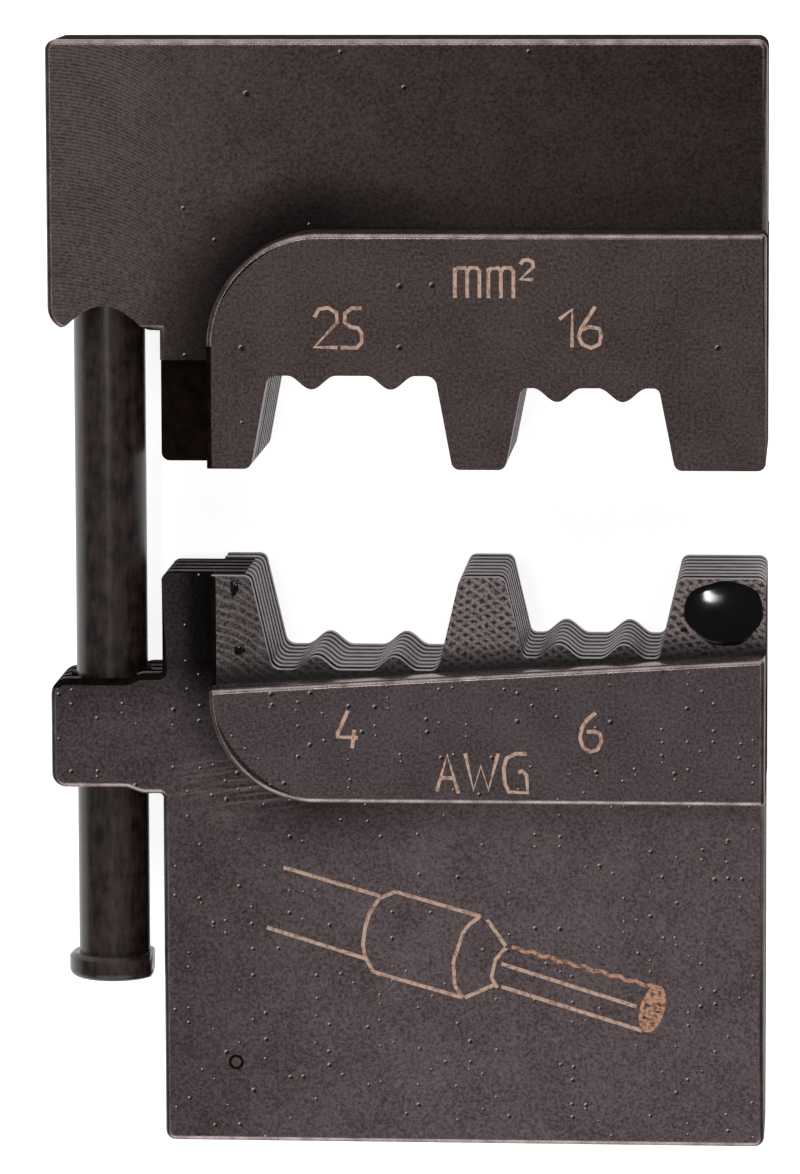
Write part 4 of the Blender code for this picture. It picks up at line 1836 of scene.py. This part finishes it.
@dataclass(frozen=True)
class Drop:
    """A thin drop on a face, a little ragged round its rim.

    Args:
        across: Its middle across the set, in millimetres.
        along: Its middle along the set, in millimetres.
        wide: Half its width, in millimetres.
        high: Half its height, in millimetres.
        ragged: How far its rim wavers, as a share of its size.
    """

    across: float
    along: float
    wide: float
    high: float
    ragged: float = 0.06
    sides: ClassVar[int] = 64
    rim_waves: ClassVar[tuple[tuple[int, float, int], ...]] = (
        (3, 0.6, 1), (7, 0.3, 0), (17, 0.1, 0),
    )
    profile: ClassVar[tuple[Point, ...]] = ((1.0, -0.3), (1.0, 0.2), (0.93, 0.75), (0.8, 1.0))

    def waver(self, turn: float) -> float:
        """Return how far out the rim is at this angle, as a share of the drop's size.

        Args:
            turn: The angle round the drop.

        Returns:
            The share, 1 at most.
        """
        waves = (
            height * math.sin(count * turn + phase * self.across)
            for count, height, phase in self.rim_waves
        )
        return 1 - self.ragged * (1 + sum(waves))

    def add(self, shape: bmesh.types.BMesh, level: float, thickness: float) -> None:
        """Add the drop to a mesh.

        Args:
            shape: The mesh that takes it.
            level: The height of the face under it.
            thickness: How thick the drop is.
        """
        rings = []
        for reach, lift in self.profile:
            ring = []
            for turn in turns(self.sides)[:-1]:
                share = reach * self.waver(turn)
                ring.append(shape.verts.new((
                    (self.across + self.wide * share * math.cos(turn)) * MM,
                    (self.along + self.high * share * math.sin(turn)) * MM,
                    level + lift * thickness,
                )))
            rings.append(ring)
        for inner, outer in zip(rings[1:], rings):
            for side in range(self.sides):
                after = (side + 1) % self.sides
                shape.faces.new((outer[side], outer[after], inner[after], inner[side]))
        shape.faces.new(rings[-1])
        shape.faces.new(list(reversed(rings[0])))


# The big drop on the right tooth, the two specks on the left one and three beside the big one.
BIG_DROP = Drop(15.22, -0.48, 2.0, 1.66)
SPECKS = (
    Drop(-8.17, 0.55, 0.24, 0.5, 0.2), Drop(-7.94, -2.45, 0.35, 0.28, 0.2),
    Drop(13.3, -1.3, 0.16, 0.14), Drop(13.6, -2.0, 0.12, 0.1), Drop(14.3, -2.45, 0.14, 0.1),
)


def dropped(
    name: str, drops: Sequence[Drop], level: float, finish: bpy.types.Material,
    thickness: float = 0.03 * MM,
) -> None:
    """Lay thin drops on a face of the lower half.

    Args:
        name: The piece's name.
        drops: The drops.
        level: The height of the face.
        finish: The material.
        thickness: How thick they are.
    """
    mesh = bpy.data.meshes.new(name)
    shape = bmesh.new()
    for drop in drops:
        drop.add(shape, level, thickness)
    shape.to_mesh(mesh)
    shape.free()
    mesh.materials.append(finish)
    piece = link(bpy.data.objects.new(name, mesh))
    smooth(piece)
    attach(piece, "lower")
    log.info("%s: %d drops", name, len(drops))


# Studio


@dataclass(frozen=True)
class Softbox:
    """One soft lamp.

    Args:
        name: The lamp's name.
        place: Where it stands.
        size: Its width and height.
        power: Its watts.
    """

    name: str
    place: tuple[float, float, float]
    size: tuple[float, float]
    power: float

    def build(self, aim: Vector) -> None:
        """Hang the lamp, facing the aim.

        Args:
            aim: The point that it lights.
        """
        data = bpy.data.lights.new(self.name, "AREA")
        data.shape = "RECTANGLE"
        data.size, data.size_y = self.size
        data.energy = self.power
        lamp = link(bpy.data.objects.new(self.name, data))
        lamp.location = self.place
        lamp.rotation_mode = "QUATERNION"
        lamp.rotation_quaternion = (aim - lamp.location).to_track_quat("-Z", "Y")


@dataclass
class Studio:
    """The floor, the lamps, the world and the camera."""

    floor_level: float = -0.02 * MM
    floor_side: float = 3.0
    lamp_aim: tuple[float, float, float] = (0.0, 0.0, 5.0 * MM)
    world_strength: float = 0.26
    camera_place: tuple[float, float, float] = (20.398 * MM, 40.521 * MM, 300.0 * MM)
    camera_aim: tuple[float, float, float] = (-0.0931 * MM, 6.4793 * MM, 10.5 * MM)
    camera_roll: float = -0.0035
    lens: float = 189.31
    shift_y: float = -0.10
    clip_start: float = 0.01
    lamps: tuple[Softbox, ...] = (
        Softbox("upper_panel", (0.0, 0.34, 0.25), (0.6, 0.4), 1.1),
        Softbox("lower_panel", (0.0, -0.34, 0.25), (0.6, 0.4), 1.45),
        Softbox("glint", (-0.03, 0.01, 0.45), (0.03, 0.02), 0.14),
    )

    def build(self) -> None:
        """Set up the studio."""
        half = self.floor_side / 2
        mesh = bpy.data.meshes.new("floor")
        level = self.floor_level
        mesh.from_pydata(
            [(-half, -half, level), (half, -half, level), (half, half, level), (-half, half, level)],
            [], [(0, 1, 2, 3)],
        )
        mesh.materials.append(PaleFloor().make())
        link(bpy.data.objects.new("floor", mesh))
        for lamp in self.lamps:
            lamp.build(Vector(self.lamp_aim))
        world = bpy.data.worlds.new("studio")
        world.use_nodes = True
        sky = world.node_tree.nodes["Background"]
        sky.inputs["Color"].default_value = linear("FFFFFF")
        sky.inputs["Strength"].default_value = self.world_strength
        bpy.context.scene.world = world
        bpy.context.scene.view_settings.view_transform = "Standard"

    def camera(self) -> None:
        """Stand the camera where the photograph was taken from."""
        data = bpy.data.cameras.new("camera")
        data.lens = self.lens
        data.shift_y = self.shift_y
        data.clip_start = self.clip_start
        eye = link(bpy.data.objects.new("camera", data))
        place, aim = Vector(self.camera_place), Vector(self.camera_aim)
        ahead = (aim - place).normalized()
        right = ahead.cross(Vector((0, 1, 0))).normalized()
        up = right.cross(ahead)
        cos, sin = math.cos(self.camera_roll), math.sin(self.camera_roll)
        right, up = right * cos + up * sin, up * cos - right * sin
        pose = eye.matrix_world.copy()
        for row in range(3):
            pose[row][0], pose[row][1], pose[row][2] = right[row], up[row], -ahead[row]
            pose[row][3] = place[row]
        eye.matrix_world = pose
        bpy.context.scene.camera = eye


def main() -> None:
    """Build the die set and its studio."""
    logging.basicConfig(level=logging.INFO, format="%(message)s")
    studio = Studio()
    studio.camera()
    studio.build()
    # Both faces carry painted light across the set and painted shadow along the boss.
    upper_face = BlackenedSteel(
        "milled_black_oxide_upper", "332827", "665A58", BossField(UPPER_BOSS_END, 1),
        painted_light_spread=((0.0, 0.94), (0.5, 0.59), (1.0, 0.35)),
        corner=((0.0, 0.15), (1.0, 0.20), (2.2, 0.42), (3.4, 0.75), (4.6, 1.0)),
        corner_shadow_lift=0.30, on_boss=0.84,
    ).make()
    # The lower face is the same oxide set paler, as painted light, with painted shade on its column.
    lower_face = BlackenedSteel(
        "milled_black_oxide_lower", "3A3032", "6C6163", BossField(LOWER_BOSS_END, -1),
        painted_light_spread=((0.0, 0.74), (0.20, 0.78), (0.34, 0.98), (0.5, 1.08)),
        corner=((0.0, 0.26), (1.0, 0.45), (2.5, 0.78), (4.0, 1.0)), corner_shadow_lift=0.5,
        on_boss=0.85, column=(0.42, 0.15), rubbed=True, pit_spacing=0.62, pit_width=0.17,
        pit_share=0.17,
    ).make()
    # Edges rubbed paler by wear, with painted shade on those that look across the set.
    edge = CutSteel(
        "worn_oxide_edge_and_painted_side_shade", "6A5C5A", "978A88", 0.26, soft_edge=0.02, aside=0.3,
    ).make()
    side = CutSteel(
        "ground_oxide_side", "292221", "443B39", 0.6, grain=(0.9, 0.9, 0.07), metallic=0.0,
        sheen=0.0,
    ).make()
    cut = CutSteel("wire_cut_steel", "6E6265", "94888C", 0.45, metallic=0.25).make()
    lower = LowerDie()
    slope = (lower.shelf_height(MM) - lower.shelf_height(0)) / MM
    tooth = MilledTooth(
        "comb_tooth_front", "261E1E", "8A7D7C", lower.shelf_height(0), slope,
    ).make()
    # Near-black oxide, darkened as painted shade where the boss and pin keep the light off.
    recess_shade = CutSteel(
        "deep_oxide_and_painted_recess_shade", "0C0807", "1A1210", 0.6, metallic=0.0, sheen=0.0,
    ).make()
    finishes = [edge, side, cut, tooth, recess_shade]
    upper = UpperDie()
    upper.build()
    upper.dress([upper_face, *finishes])
    upper.finish_piece("upper")
    lower.build()
    lower.dress([lower_face, *finishes])
    lower.finish_piece("lower")
    pin = GuidePin()
    pin.build()
    pin.dress(CutSteel(
        "ground_black_pin", "140D0C", "352926", 0.3, grain=(0.2, 1.0, 0.2), metallic=0.0,
        sheen=0.35,
    ).make())
    marks = FaceMarks()
    marks.build(EtchedLine("laser_etched_line").make(), recess_shade)
    lacquer = BlackLacquer("dried_black_lacquer").make()
    dropped("lacquer_drop", [BIG_DROP], lower.comb_front, lacquer)
    thin_lacquer = BlackLacquer("dried_lacquer_specks", dome=0.02).make()
    dropped("lacquer_specks", SPECKS, lower.comb_front, thin_lacquer)


if __name__ == "__main__":
    main()
